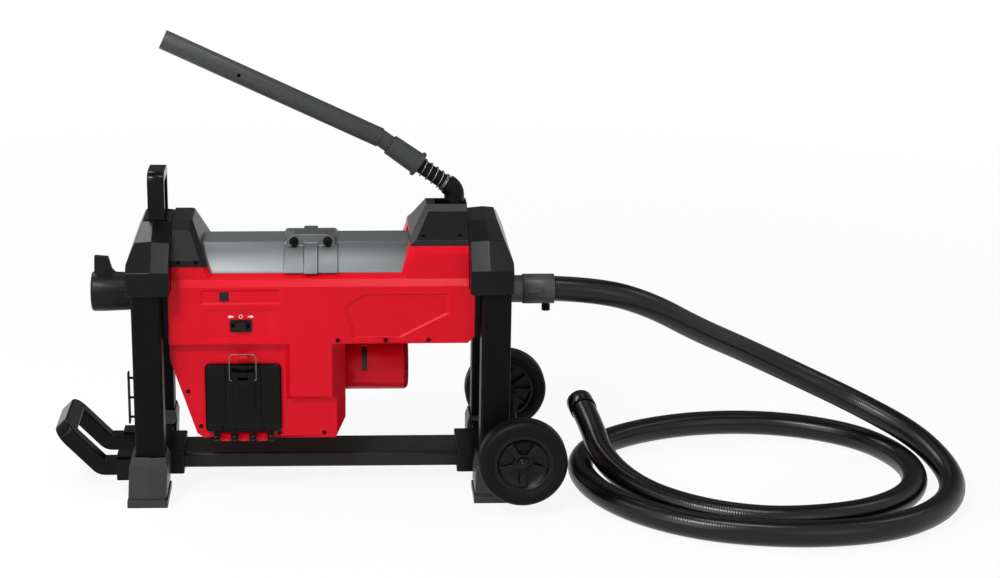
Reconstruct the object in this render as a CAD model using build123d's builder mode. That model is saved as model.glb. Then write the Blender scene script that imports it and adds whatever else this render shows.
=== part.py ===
import math
import os

from build123d import *

# Sectional drain cleaning machine, in millimetres.
# X runs to the rear, Y to the right side, Z up from the floor; the cable runs along X.

# Frame of the machine
cable_z = 345.0
seat_gap = 0.2
side_gap = 0.3
run_gap = 0.05

# Legs and feet
leg_size = 50.0
leg_wall = 3.0
leg_corner = 6.0
leg_y = 120.0
front_leg_x = -273.5
rear_leg_x = 321.5
leg_bottom = 20.0
leg_top = 410.0
sole_height = 13.0
groove_height = 5.0
groove_depth = 3.0
foot_length = 66.0
foot_crease = 0.07
front_foot_inner = 62.0
front_foot_outer = 160.0
front_foot_height = 89.0
front_foot_toe = -5.5
rear_foot_inner = 70.0
rear_foot_outer = 150.0
rear_foot_height = 74.0
foot_waist = 66.0
foot_cap = 57.0
foot_cap_height = 15.0

# Arch castings that bridge each pair of legs
arch_foot = 378.0
arch_knee = 420.0
arch_hip = 463.0
arch_top = 484.0
arch_half = 153.0
arch_hip_half = 108.0
arch_top_half = 45.0
arch_taper = 5.2
arch_rake_z = 430.0
arch_rake = 23.0
front_arch_x0 = front_leg_x - 32.0
front_arch_crease = front_leg_x + 10.0
front_arch_x1 = front_leg_x + 41.2
rear_arch_x0 = rear_leg_x - 45.0
rear_arch_crease = rear_leg_x - 13.5
rear_arch_x1 = rear_leg_x + 28.0
bulkhead_bottom = 285.0
bulkhead_gap = 0.4
front_bulkhead_x0 = front_leg_x - 16.5
front_bulkhead_x1 = front_leg_x + 35.2
rear_bulkhead_x0 = rear_leg_x - 34.7
rear_bulkhead_x1 = rear_leg_x + 23.5

# Base beam, brackets and lift handle
beam_width = 89.0
beam_height = 28.0
beam_z = 43.0
beam_wall = 3.0
sleeve_wall = 8.0
front_sleeve_x = -222.0
rear_sleeve_x = 262.0
bracket_depth = 12.0
handle_bar = 29.0
handle_y = 62.0
handle_bend_x = -366.0
handle_top_z = 107.0
handle_bend_r = 16.0
handle_sleeve_x = -338.5
handle_seat_x = -262.0

# Wheels and axle
wheel_r = 76.0
wheel_width = 40.0
wheel_outer_y = 212.0
axle_r = 8.0
axle_z = 94.0
axle_setback = 44.5
axle_x = rear_leg_x + axle_setback
rim_r = 52.0
rim_thickness = 5.0
wheel_boss_r = 17.0
wheel_web = 8.0
spoke_count = 5
spoke_inner_half = 6.5
spoke_outer_half = 9.0
tyre_round = 8.0
wheel_rib_count = 10
axle_bracket_half = 16.0
axle_bracket_height = 36.0
axle_bracket_back = 16.0
spacer_r = 13.0
axle_cap_r = 11.0
axle_cap_thickness = 5.0
half_length = axle_x + wheel_r

# Extruded drive housing
tube_r = 104.0
tube_bore_r = tube_r - 12.0
skirt_half = tube_r - 16.8
skirt_wall = 10.0
land_angle = 20.0

# Red body halves
body_half = 112.0
body_wall = 5.0
body_bottom = 281.0
body_belt = 383.0
body_chamfer = 11.0
body_shelf = cable_z + tube_r - 47.8
trunk_x0 = front_bulkhead_x1 + side_gap
trunk_x1 = rear_bulkhead_x0 - side_gap
front_block_rise = 15.3
front_block_top = body_shelf + front_block_rise
front_block_x = -158.0
front_block_slant = 12.0
rear_block_rise = 48.3
rear_block_top = body_shelf + rear_block_rise
rear_cover_rise = 55.5
rear_cover_top = rear_block_top + rear_cover_rise
rear_block_x = 157.0
rear_block_slant = 19.0
lower_half = 100.0
lower_bottom = 106.3
lower_right = 64.5
lower_left_top = 250.0
lower_left_foot = -194.0
lower_left_foot_z = 115.6
lower_toe = 12.0
lower_right_chamfer = 18.0
lower_right_rise = 30.0
side_slope_x = 24.0
side_slope_y = 36.0
pad_x0 = -39.0
pad_z0 = 178.0
pad_slope = 8.5
block_bevel = 8.0
cover_bevel = 9.0

# Recesses of the left body half
recess_x0 = -183.5
recess_x1 = -45.0
window_recess_z0 = 352.5
window_recess_z1 = 378.3
window_recess_depth = 2.6
switch_recess_z0 = 286.2
switch_recess_z1 = 345.4
switch_recess_depth = 3.0
switch_recess_slope = 26.0
panel_x0 = 61.0
panel_x1 = 243.0
panel_z0 = 291.0
panel_z1 = 370.0
panel_nose = 24.0
panel_depth = 2.6
panel_floor_share = 0.92

# Battery door, hinge and latch
door_x = -112.5
door_width = 131.6
door_z0 = 118.6
door_z1 = 243.3
door_thickness = 8.0
door_corner = 9.0
hinge_y = -106.5
hinge_z = 109.3
hinge_r = 6.0
hinge_pin_r = 2.0
hinge_pitch = 31.6
barrel_length = 19.0
knuckle_length = 8.5
bay_half = 55.0
bay_z0 = 126.0
bay_z1 = 234.0
bay_back = -14.0
latch_half = 19.4
latch_z0 = 166.0
latch_pivot_z = 227.0
latch_pivot_y = -114.0
latch_thickness = 6.0
latch_ear = 8.0
bail_pivot_z = 217.0
bail_top_z = 263.5
bail_half = 23.0
bail_wire = 2.0
catch_half = 9.5
catch_depth = 18.0

# Motor and belt
motor_z = 211.0
motor_r = 48.0
motor_wall = 3.0
motor_x1 = 175.5
shaft_r = 6.0
belt_x0 = 26.0
belt_x1 = 54.0
belt_thickness = 4.0
motor_pulley_r = 18.0
spindle_pulley_r = 54.0

# Spindle and clutch
spindle_r = 30.0
spindle_bore_r = 22.0
cable_bore_r = 19.0
passage_r = 20.0
bearing_r = 42.0
bearing_length = 30.0
spindle_x0 = front_leg_x - 10.5
spindle_x1 = rear_leg_x + 16.5
cone_angle = 10.0
cone_x0 = rear_leg_x - 116.5
cone_x1 = rear_leg_x - 79.5
cone_bore_r = 36.0
collar_r = 57.0
groove_r = 46.0
groove_width = 15.0
collar_flange = 5.5
jaw_x0 = rear_leg_x - 107.5
jaw_x1 = rear_leg_x - 81.5
jaw_width = 14.0

# Clamp lever
lever_x = rear_leg_x - 66.5
lever_z = rear_cover_top - 43.0
lever_pin_r = 5.0
lever_hub_r = 13.0
lever_hub_half = 18.5
elbow_r = 17.5
elbow_z = rear_cover_top + 21.0
elbow_bend_r = 20.0
rod_angle = 35.5
rod_r = 13.2
tube_angle = 25.0
spring_start = 16.0
spring_end = 75.0
spring_wire = 2.4
spring_r = 15.0
spring_turns = 7
close_turns = 2
close_pitch = 3.4
sleeve_end = 137.0
sleeve_r = 19.5
sleeve_flange_r = 23.0
rod_end = 121.5
neck_r = 15.0
lever_tube_s = 158.0
lever_tube_r = 17.0
lever_tube_wall = 3.0
lever_tube_length = 407.0
fork_thickness = 7.0
fork_half = 12.0

# Feed lever loop on the front arch
feed_x = front_leg_x + 14.5
feed_z = arch_top - 13.0
feed_eye_r = 14.5
feed_half = 41.0
feed_bar = 10.5
feed_slot_half = 18.5
feed_top = 566.0
feed_pin_r = 4.0

# Nose, spigot, coupling and hose
nose_x0 = front_leg_x - 105.0
nose_r = 35.0
nose_root_r = 33.0
pilot_r = 27.0
pilot_x = front_leg_x - 61.5
fin_top = 410.0
fin_half = 6.0
spigot_r = 24.0
spigot_x1 = rear_leg_x + 80.5
coupling_r = 26.3
coupling_x0 = rear_leg_x + 55.3
coupling_x1 = rear_leg_x + 111.0
thumb_x = rear_leg_x + 97.5
thumb_r = 7.5
hose_r = 22.5
hose_bore_r = 18.0
cuff_r = 24.4
cuff_length = 32.0

# Covers
front_cover_x1 = -169.0
front_cover_slant = 28.0
rear_cover_x0 = 176.0
rear_cover_x1 = rear_arch_x0 - side_gap
cover_wall = 6.0

tan = math.tan
cos = math.cos
sin = math.sin
rad = math.radians


def save(builder, name):
    builder.part.label = name
    export_step(builder.part, f"parts/{name}.step")


os.makedirs("parts", exist_ok=True)


# Legs: square steel tubes, plugged into a foot below and an arch above
def make_leg(x, side):
    with BuildPart() as leg:
        with BuildSketch(Plane.XY.offset(leg_bottom)):
            with Locations((x, side * leg_y)):
                RectangleRounded(leg_size, leg_size, leg_corner)
                bore = leg_size - 2 * leg_wall
                RectangleRounded(bore, bore, leg_corner - leg_wall, mode=Mode.SUBTRACT)
        extrude(amount=leg_top - leg_bottom)
    return leg


for side, hand in ((-1, "left"), (1, "right")):
    save(make_leg(front_leg_x, side), f"front_{hand}_leg")
    save(make_leg(rear_leg_x, side), f"rear_{hand}_leg")


# Feet: faceted boots with a creased outer face and a groove above the sole
def creased_outline(length, depth):
    rise = foot_crease * length / 2
    return [
        (-length / 2, -depth / 2),
        (0, -depth / 2 - rise),
        (length / 2, -depth / 2),
        (length / 2, depth / 2),
        (0, depth / 2 + rise),
        (-length / 2, depth / 2),
    ]


def make_feet(x, toe, inner, outer, height, pockets):
    depth = outer - inner
    middle = (inner + outer) / 2
    body_z = sole_height + groove_height
    with BuildPart() as feet:
        for side in (-1, 1):
            with BuildSketch(Plane.XY):
                with Locations((x + toe, side * middle)):
                    Rectangle(foot_length + 4, depth)
            extrude(amount=sole_height)
            with BuildSketch(Plane.XY.offset(sole_height)):
                with Locations((x + toe, side * middle)):
                    Rectangle(foot_length - 2 * groove_depth, depth - 2 * groove_depth)
            extrude(amount=groove_height)
            stations = (
                (body_z, toe, foot_length, depth - 2, middle),
                (height - foot_cap_height, toe / 2, foot_waist, foot_waist, leg_y),
                (height, toe / 3, foot_cap, foot_cap, leg_y),
            )
            for z, shift, length, across, y in stations:
                with BuildSketch(Plane((x + shift, side * y, z))):
                    Polygon(creased_outline(length, across))
            loft(ruled=True)
            with BuildSketch(Plane.XY.offset(leg_bottom)):
                with Locations((x, side * leg_y)):
                    Rectangle(leg_size + 2 * seat_gap, leg_size + 2 * seat_gap)
            extrude(amount=height, mode=Mode.SUBTRACT)
        for x0, x1, half in pockets:
            with BuildSketch(Plane.XY.offset(beam_z - sleeve_height / 2 - seat_gap)):
                with Locations(((x0 + x1) / 2, 0)):
                    Rectangle(x1 - x0 + 2 * seat_gap, 2 * (half + seat_gap))
            extrude(amount=sleeve_height + 2 * seat_gap, mode=Mode.SUBTRACT)
    return feet


front_bar_x0 = front_leg_x - leg_size / 2
front_bar_x1 = front_leg_x + leg_size / 2
rear_bar_x0 = rear_leg_x - leg_size / 2
rear_bar_x1 = rear_leg_x + leg_size / 2
bracket_half = leg_y - leg_size / 2
sleeve_half = beam_width / 2 + sleeve_wall
sleeve_height = beam_height + 2 * sleeve_wall
handle_seat = handle_bar + 2 * seat_gap
handle_sleeve = sleeve_height
front_pockets = [
    (front_bar_x0, front_bar_x1, bracket_half),
    (handle_sleeve_x, front_bar_x0, handle_y + handle_sleeve / 2),
]
rear_pockets = [(rear_bar_x0, rear_bar_x1, bracket_half)]
front_feet = make_feet(
    front_leg_x,
    front_foot_toe,
    front_foot_inner,
    front_foot_outer,
    front_foot_height,
    front_pockets,
)
save(front_feet, "front_feet")
rear_feet = make_feet(rear_leg_x, 0, rear_foot_inner, rear_foot_outer, rear_foot_height, rear_pockets)
save(rear_feet, "rear_feet")


# Arch castings: one faceted arch over the legs, with a bulkhead between them that carries a bearing
def arch_outline():
    drop = 10.0
    right = [
        (arch_half, arch_foot - drop),
        (arch_half, arch_knee),
        (arch_hip_half, arch_hip),
        (arch_top_half, arch_top),
    ]
    return right + [(-y, z) for y, z in reversed(right)]


def make_arch(x0, crease, x1, leg_x, bulkhead_x0, bulkhead_x1, rake_x, rake_side):
    bulkhead_half = leg_y - leg_size / 2 - bulkhead_gap
    with BuildPart() as arch:
        for length in (x1 - crease, x0 - crease):
            with BuildSketch(Plane.YZ.offset(crease)):
                Polygon(arch_outline())
            extrude(amount=length, taper=arch_taper)
        split(bisect_by=Plane.XY.offset(arch_foot), keep=Keep.TOP)
        with BuildSketch(Plane.XZ):
            Polygon(
                [
                    (rake_x, arch_rake_z),
                    (rake_x - rake_side * arch_rake, arch_top),
                    (rake_x - rake_side * arch_rake, arch_top + 20),
                    (rake_x + rake_side * 20, arch_top + 20),
                    (rake_x + rake_side * 20, arch_rake_z),
                ]
            )
        extrude(amount=2 * arch_half, both=True, mode=Mode.SUBTRACT)
        with BuildSketch(Plane.XY.offset(bulkhead_bottom)):
            with Locations(((bulkhead_x0 + bulkhead_x1) / 2, 0)):
                Rectangle(bulkhead_x1 - bulkhead_x0, 2 * bulkhead_half)
        extrude(amount=arch_foot + 10 - bulkhead_bottom)
        for side in (-1, 1):
            with BuildSketch(Plane.XY.offset(arch_foot)):
                with Locations((leg_x, side * leg_y)):
                    Rectangle(leg_size + 2 * seat_gap, leg_size + 2 * seat_gap)
            extrude(amount=leg_top - arch_foot, mode=Mode.SUBTRACT)
    return arch


def round_cut(x0, x1, radius):
    """Cut a round way along the cable axis from x0 to x1."""
    with BuildSketch(Plane.YZ.offset(x0)) as way:
        with Locations((0, cable_z)):
            Circle(radius)
    extrude(way.sketch, amount=x1 - x0, mode=Mode.SUBTRACT)


front_arch = make_arch(
    front_arch_x0,
    front_arch_crease,
    front_arch_x1,
    front_leg_x,
    front_bulkhead_x0,
    front_bulkhead_x1,
    front_arch_x0,
    -1,
)
front_bearing_x = front_bulkhead_x1 - bearing_length
with BuildPart() as front_shoulder:
    add(front_arch.part)
    with BuildSketch(Plane.YZ.offset(front_bulkhead_x0)):
        with Locations((0, cable_z)):
            Circle(pilot_r)
    extrude(amount=pilot_x - front_bulkhead_x0)
    round_cut(pilot_x, spindle_x0 - 2, passage_r)
    round_cut(spindle_x0 - 2, front_bearing_x, spindle_r + 1)
    round_cut(front_bearing_x, front_arch_x1, bearing_r)
    # slots for the arms of the feed lever, and the hole for its pin
    slot_bottom = feed_z - feed_eye_r - 1
    for side in (-1, 1):
        with BuildSketch(Plane.XY.offset(slot_bottom)):
            with Locations((feed_x, side * (feed_half - feed_bar / 2))):
                Rectangle(2 * feed_slot_half, feed_bar + 2 * side_gap)
        extrude(amount=arch_top - slot_bottom + 5, mode=Mode.SUBTRACT)
    with BuildSketch(Plane.XZ):
        with Locations((feed_x, feed_z)):
            Circle(feed_pin_r + run_gap)
    extrude(amount=feed_half + side_gap, both=True, mode=Mode.SUBTRACT)
save(front_shoulder, "front_shoulder")

rear_arch = make_arch(
    rear_arch_x0,
    rear_arch_crease,
    rear_arch_x1,
    rear_leg_x,
    rear_bulkhead_x0,
    rear_bulkhead_x1,
    rear_arch_x1,
    1,
)
collar_end = lever_x + groove_width / 2 + collar_flange
collar_travel = 18.0
pocket_x = collar_end + collar_travel + 12
rear_bearing_x = pocket_x + bearing_length
with BuildPart() as rear_shoulder:
    add(rear_arch.part)
    round_cut(rear_arch_x0, pocket_x, collar_r + 3)
    round_cut(pocket_x, rear_bearing_x, bearing_r)
    round_cut(rear_bearing_x, spindle_x1 + 2, spindle_r + 1)
    round_cut(spindle_x1 + 2, rear_bulkhead_x1, passage_r)
save(rear_shoulder, "rear_shoulder")

# Base beam: flat rectangular tube between the brackets
with BuildPart() as base_beam:
    with BuildSketch(Plane.YZ.offset(front_sleeve_x - bracket_depth)):
        with Locations((0, beam_z)):
            RectangleRounded(beam_width, beam_height, leg_corner)
            RectangleRounded(
                beam_width - 2 * beam_wall, beam_height - 2 * beam_wall, beam_wall, mode=Mode.SUBTRACT
            )
    extrude(amount=rear_sleeve_x - front_sleeve_x + 2 * bracket_depth)
save(base_beam, "base_beam")

# Brackets: a cross bar between the legs with a sleeve for the beam
def beam_pocket(x0, x1):
    with BuildSketch(Plane.YZ.offset(x0)) as seat:
        with Locations((0, beam_z)):
            Rectangle(beam_width + 2 * seat_gap, beam_height + 2 * seat_gap)
    extrude(seat.sketch, amount=x1 - x0, mode=Mode.SUBTRACT)


def make_bracket(bar_x0, bar_x1, sleeve_x0, sleeve_x1):
    with BuildPart() as bracket:
        with BuildSketch(Plane.XY.offset(beam_z - sleeve_height / 2)):
            with Locations(((bar_x0 + bar_x1) / 2, 0)):
                Rectangle(bar_x1 - bar_x0, 2 * bracket_half)
            with Locations(((sleeve_x0 + sleeve_x1) / 2, 0)):
                Rectangle(sleeve_x1 - sleeve_x0, 2 * sleeve_half)
        extrude(amount=sleeve_height)
        upright = bracket.edges().filter_by(Axis.Z)
        corners = upright.group_by(SortBy.LENGTH)[-1]
        chamfer(corners, length=3)
    return bracket


front_bracket_body = make_bracket(front_bar_x0, front_bar_x1, front_bar_x1, front_sleeve_x)
with BuildPart() as front_cross_bracket:
    add(front_bracket_body.part)
    for side in (-1, 1):
        with BuildSketch(Plane.YZ.offset(handle_sleeve_x)):
            with Locations((side * handle_y, beam_z)):
                RectangleRounded(handle_sleeve, handle_sleeve, 4)
        extrude(amount=front_bar_x0 - handle_sleeve_x)
        with BuildSketch(Plane.YZ.offset(handle_sleeve_x)):
            with Locations((side * handle_y, beam_z)):
                Rectangle(handle_seat, handle_seat)
        extrude(amount=handle_seat_x - handle_sleeve_x, mode=Mode.SUBTRACT)
    beam_pocket(front_sleeve_x - bracket_depth, front_sleeve_x)
save(front_cross_bracket, "front_cross_bracket")

rear_bracket_body = make_bracket(rear_bar_x0, rear_bar_x1, rear_sleeve_x, rear_bar_x0)
with BuildPart() as rear_cross_bracket:
    add(rear_bracket_body.part)
    beam_pocket(rear_sleeve_x, rear_sleeve_x + bracket_depth)
save(rear_cross_bracket, "rear_cross_bracket")

# Lift handle: one square bar bent to a U, raised at its front
handle_front_x = -half_length + handle_bar / 2
handle_points = [
    (handle_seat_x, -handle_y, beam_z),
    (handle_bend_x, -handle_y, beam_z),
    (handle_front_x, -handle_y, handle_top_z),
    (handle_front_x, handle_y, handle_top_z),
    (handle_bend_x, handle_y, beam_z),
    (handle_seat_x, handle_y, beam_z),
]
with BuildPart() as lift_handle:
    with BuildLine():
        FilletPolyline(*handle_points, radius=handle_bend_r)
    with BuildSketch(Plane(handle_points[0], x_dir=(0, 1, 0), z_dir=(-1, 0, 0))):
        RectangleRounded(handle_bar, handle_bar, 3)
    sweep()
save(lift_handle, "lift_handle")

# Axle, its brackets on the rear legs, and what keeps the wheels in place
axle_back = rear_leg_x + leg_size / 2
wheel_inner_y = wheel_outer_y - wheel_width
wheel_face_y = wheel_outer_y - axle_cap_thickness - side_gap
with BuildPart() as axle_brackets:
    for side in (-1, 1):
        with BuildSketch(Plane.XZ.offset(-side * leg_y)):
            with Locations(((axle_back + axle_x + axle_bracket_back) / 2, axle_z)):
                Rectangle(axle_x + axle_bracket_back - axle_back, axle_bracket_height)
            with Locations((axle_x, axle_z)):
                Circle(axle_r + run_gap, mode=Mode.SUBTRACT)
        extrude(amount=axle_bracket_half, both=True)
    upright = axle_brackets.edges().filter_by(Axis.Y).group_by(Axis.X)[-1]
    chamfer(upright, length=6)
save(axle_brackets, "axle_brackets")

with BuildPart() as axle:
    with BuildSketch(Plane.XZ):
        with Locations((axle_x, axle_z)):
            Circle(axle_r)
    extrude(amount=wheel_face_y, both=True)
save(axle, "axle")

bracket_outer_y = leg_y + axle_bracket_half
with BuildPart() as axle_hardware:
    for side in (-1, 1):
        with BuildSketch(Plane.XZ.offset(-side * bracket_outer_y)):
            with Locations((axle_x, axle_z)):
                Circle(spacer_r)
                Circle(axle_r + run_gap, mode=Mode.SUBTRACT)
        extrude(amount=-side * (wheel_inner_y - bracket_outer_y - side_gap))
        with BuildSketch(Plane.XZ.offset(-side * wheel_face_y)):
            with Locations((axle_x, axle_z)):
                Circle(axle_cap_r)
        extrude(amount=-side * axle_cap_thickness)
save(axle_hardware, "axle_hardware")


# Wheels: moulded hub, dished with five spokes outside and ribbed inside, and a rubber tyre
def wheel_plane(side):
    """Plane on the inner face of a wheel, with its normal pointing outwards."""
    return Plane((axle_x, side * wheel_inner_y, axle_z), x_dir=(1, 0, 0), z_dir=(0, side, 0))


def make_hub(side):
    face = wheel_plane(side)
    boss_length = wheel_face_y - wheel_inner_y
    rim_inner_r = rim_r - rim_thickness
    rim_margin = 4.0
    web_at = wheel_width / 2 - wheel_web / 2
    with BuildPart() as hub:
        with BuildSketch(face.offset(rim_margin)):
            Circle(rim_r)
            Circle(rim_inner_r, mode=Mode.SUBTRACT)
        extrude(amount=wheel_width - 2 * rim_margin)
        with BuildSketch(face.offset(web_at)):
            Circle(rim_inner_r + 1)
        extrude(amount=wheel_web)
        with BuildSketch(face):
            Circle(wheel_boss_r)
        extrude(amount=boss_length)
        dish_back = web_at + wheel_web - 1
        dish_lip = wheel_width - rim_margin
        with BuildSketch(Plane(face.origin, x_dir=(1, 0, 0), z_dir=(0, 0, side))) as dish:
            Polygon(
                [
                    (wheel_boss_r - 1, dish_back),
                    (rim_inner_r + 1, dish_back),
                    (rim_inner_r + 1, dish_lip),
                    (rim_inner_r - 1, dish_lip),
                    (rim_inner_r - 6, dish_lip - 5.5),
                    (rim_inner_r - 14, dish_lip - 9),
                    (rim_inner_r - 25, dish_lip - 10.5),
                    (wheel_boss_r - 1, dish_lip - 10.5),
                ]
            )
        revolve(dish.sketch, axis=Axis(face.origin, (0, side, 0)))
        spoke_end = rim_inner_r - 4
        with BuildSketch(face.offset(web_at + wheel_web)):
            with PolarLocations(0, spoke_count, start_angle=-90):
                Polygon(
                    [
                        (wheel_boss_r - 7, -spoke_inner_half),
                        (spoke_end, -spoke_outer_half),
                        (spoke_end, spoke_outer_half),
                        (wheel_boss_r - 7, spoke_inner_half),
                    ]
                )
        extrude(amount=10, taper=12)
        with BuildSketch(face.offset(rim_margin + 2)):
            with PolarLocations(rim_inner_r / 2, wheel_rib_count):
                Rectangle(rim_inner_r, 2.5)
        extrude(amount=web_at - rim_margin - 2)
        with BuildSketch(face):
            Circle(axle_r + run_gap)
        extrude(amount=boss_length, mode=Mode.SUBTRACT)
    return hub


def make_tyre(side):
    with BuildPart() as tyre:
        with BuildSketch(wheel_plane(side)):
            Circle(wheel_r)
            Circle(rim_r, mode=Mode.SUBTRACT)
        extrude(amount=wheel_width)
        shoulders = tyre.edges().filter_by(GeomType.CIRCLE).group_by(SortBy.RADIUS)[-1]
        fillet(shoulders, radius=tyre_round)
    return tyre


for side, hand in ((-1, "left"), (1, "right")):
    save(make_hub(side), f"{hand}_wheel_hub")
    save(make_tyre(side), f"{hand}_tyre")

# Hook strip on the left front leg, held off it by three pegs
strip_z0 = 143.0
strip_z1 = 236.0
strip_stand_off = 8.0
strip_thickness = 3.0
peg_r = 2.2
leg_front = front_leg_x - leg_size / 2
with BuildPart() as hook_strip:
    with BuildSketch(Plane.YZ.offset(leg_front - strip_stand_off)):
        with Locations((-leg_y, (strip_z0 + strip_z1) / 2)):
            RectangleRounded(16, strip_z1 - strip_z0, 4)
    extrude(amount=-strip_thickness)
    with BuildSketch(Plane.YZ.offset(leg_front)):
        with Locations((-leg_y, (strip_z0 + strip_z1) / 2)):
            with GridLocations(1, (strip_z1 - strip_z0) * 0.38, 1, 3):
                Circle(peg_r)
    extrude(amount=-strip_stand_off)
save(hook_strip, "hook_strip")


# Drive housing: an arched aluminium extrusion with straight skirts and a flat land on top
land_z = cable_z + tube_r * cos(rad(land_angle))


def tube_face(gap):
    """Outline of the drive housing, grown by a gap, in a YZ sketch."""
    half = skirt_half + gap
    with Locations((0, cable_z)):
        Circle(tube_r + gap)
    upper = land_z + gap - cable_z
    with Locations((0, cable_z + upper / 2)):
        Rectangle(2 * half, upper, mode=Mode.INTERSECT)
    skirt = cable_z - body_bottom - body_wall
    with Locations((0, cable_z - skirt / 2)):
        Rectangle(2 * half, skirt)


fork_slot_half = fork_half + 2
with BuildPart() as drive_housing:
    with BuildSketch(Plane.YZ.offset(front_arch_x1)):
        tube_face(0)
    extrude(amount=rear_arch_x0 - front_arch_x1)
    with BuildSketch(Plane.YZ.offset(front_arch_x1)):
        with Locations((0, cable_z)):
            Circle(tube_bore_r)
        bore_half = skirt_half - skirt_wall
        with Locations((0, cable_z + tube_bore_r / 2)):
            Rectangle(2 * bore_half, tube_bore_r, mode=Mode.INTERSECT)
        skirt_depth = cable_z - body_bottom - body_wall
        with Locations((0, cable_z - skirt_depth / 2)):
            Rectangle(2 * bore_half, skirt_depth)
    extrude(amount=rear_arch_x0 - front_arch_x1, mode=Mode.SUBTRACT)
    fork_slot_x = lever_x - 22
    with BuildSketch(Plane.XY.offset(cable_z + tube_bore_r / 2)):
        with Locations(((fork_slot_x + rear_arch_x0) / 2, 0)):
            Rectangle(rear_arch_x0 - fork_slot_x, 2 * fork_slot_half)
    extrude(amount=tube_r, mode=Mode.SUBTRACT)
save(drive_housing, "drive_housing")

# Clamp saddle: a cast strap over the drive housing with a thick rib, bolted through bosses on the left
saddle_x = 6.0
saddle_half = 46.5
saddle_thickness = 5.0
saddle_foot = body_shelf + side_gap
boss_back = 14.0
boss_half = tube_r / 2
boss_r = 12.5
boss_z = cable_z + tube_r - 1.5
bolt_spread = 29.0
rib_half = 12.0
rib_rise = 9.0
bolt_r = 4.0
bolt_flange_r = 8.0
with BuildPart() as clamp_saddle:
    with BuildSketch(Plane.YZ.offset(saddle_x - saddle_half)):
        with Locations((0, cable_z)):
            Circle(tube_r + saddle_thickness)
        with Locations((0, saddle_foot + tube_r / 2)):
            Rectangle(3 * tube_r, tube_r, mode=Mode.INTERSECT)
    extrude(amount=2 * saddle_half)
    with BuildSketch(Plane.YZ.offset(saddle_x - rib_half)):
        with Locations((0, cable_z)):
            Circle(tube_r + rib_rise)
        with Locations((0, saddle_foot + tube_r / 2)):
            Rectangle(3 * tube_r, tube_r, mode=Mode.INTERSECT)
    extrude(amount=2 * rib_half)
    with BuildSketch(Plane.XZ.offset(boss_back)):
        with Locations((saddle_x, boss_z)):
            SlotCenterToCenter(2 * bolt_spread, 2 * boss_r)
        with Locations((saddle_x, boss_z - boss_r)):
            Rectangle(2 * bolt_spread + 2 * boss_r, 2 * boss_r)
    extrude(amount=boss_half - boss_back)
    with BuildSketch(Plane.YZ.offset(saddle_x - saddle_half)):
        tube_face(seat_gap)
    extrude(amount=2 * saddle_half, mode=Mode.SUBTRACT)
    bolt_depth = 14.0
    bolt_face = Plane.XZ.offset(boss_half)
    for radius, depth in ((bolt_r + run_gap, -bolt_depth), (bolt_flange_r + side_gap, boss_half)):
        with BuildSketch(bolt_face):
            with Locations((saddle_x, boss_z)):
                with GridLocations(2 * bolt_spread, 1, 2, 1):
                    Circle(radius)
        extrude(amount=depth, mode=Mode.SUBTRACT)
save(clamp_saddle, "clamp_saddle")

bolt_head = 7.0
with BuildPart() as saddle_bolts:
    for radius, length in ((bolt_flange_r, 2.5), (6.2, bolt_head), (bolt_r, 2 - bolt_depth)):
        with BuildSketch(bolt_face):
            with Locations((saddle_x, boss_z)):
                with GridLocations(2 * bolt_spread, 1, 2, 1):
                    Circle(radius)
        extrude(amount=length)
    with BuildSketch(bolt_face.offset(bolt_head)):
        with Locations((saddle_x, boss_z)):
            with GridLocations(2 * bolt_spread, 1, 2, 1):
                RegularPolygon(3.4, 6)
    extrude(amount=-4, mode=Mode.SUBTRACT)
save(saddle_bolts, "saddle_bolts")


# Red body: two moulded halves that meet on the centre plane
trunk_top = arch_foot - side_gap
body_x0 = front_arch_x1 + side_gap
body_x1 = rear_arch_x0 - side_gap
shelf_half = body_half - body_chamfer
lower_outline = [
    (trunk_x0, body_bottom + 1),
    (trunk_x0, lower_left_top),
    (lower_left_foot, lower_left_foot_z),
    (lower_left_foot + lower_toe, lower_bottom),
    (lower_right - lower_right_chamfer, lower_bottom),
    (lower_right, lower_bottom + lower_right_rise),
    (lower_right, body_bottom + 1),
]


def body_profile(side, points, x0, x1, mode=Mode.ADD):
    """Extrude a profile of (distance from the centre plane, height) along the machine."""
    with BuildSketch(Plane.YZ.offset(x0)) as profile:
        Polygon([(side * y, z) for y, z in points])
    extrude(profile.sketch, amount=x1 - x0, mode=mode)


def body_pocket(side, points, depth):
    """Hollow the half from the centre plane outwards, over an XZ outline."""
    with BuildSketch(Plane.XZ) as outline:
        Polygon(points)
    extrude(outline.sketch, amount=-side * depth, mode=Mode.SUBTRACT)


def slant_cut(points):
    with BuildSketch(Plane.XZ) as outline:
        Polygon(points)
    extrude(outline.sketch, amount=2 * body_half, both=True, mode=Mode.SUBTRACT)


def make_block(side, profile, x0, x1, slant, bevel_at):
    """Raised block with one slanted end whose outer edge is bevelled."""
    with BuildPart() as block:
        body_profile(side, profile, x0, x1)
        slant_cut(slant)
        chamfer(block.edges().sort_by_distance(bevel_at)[0], length=block_bevel)
    return block


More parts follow.
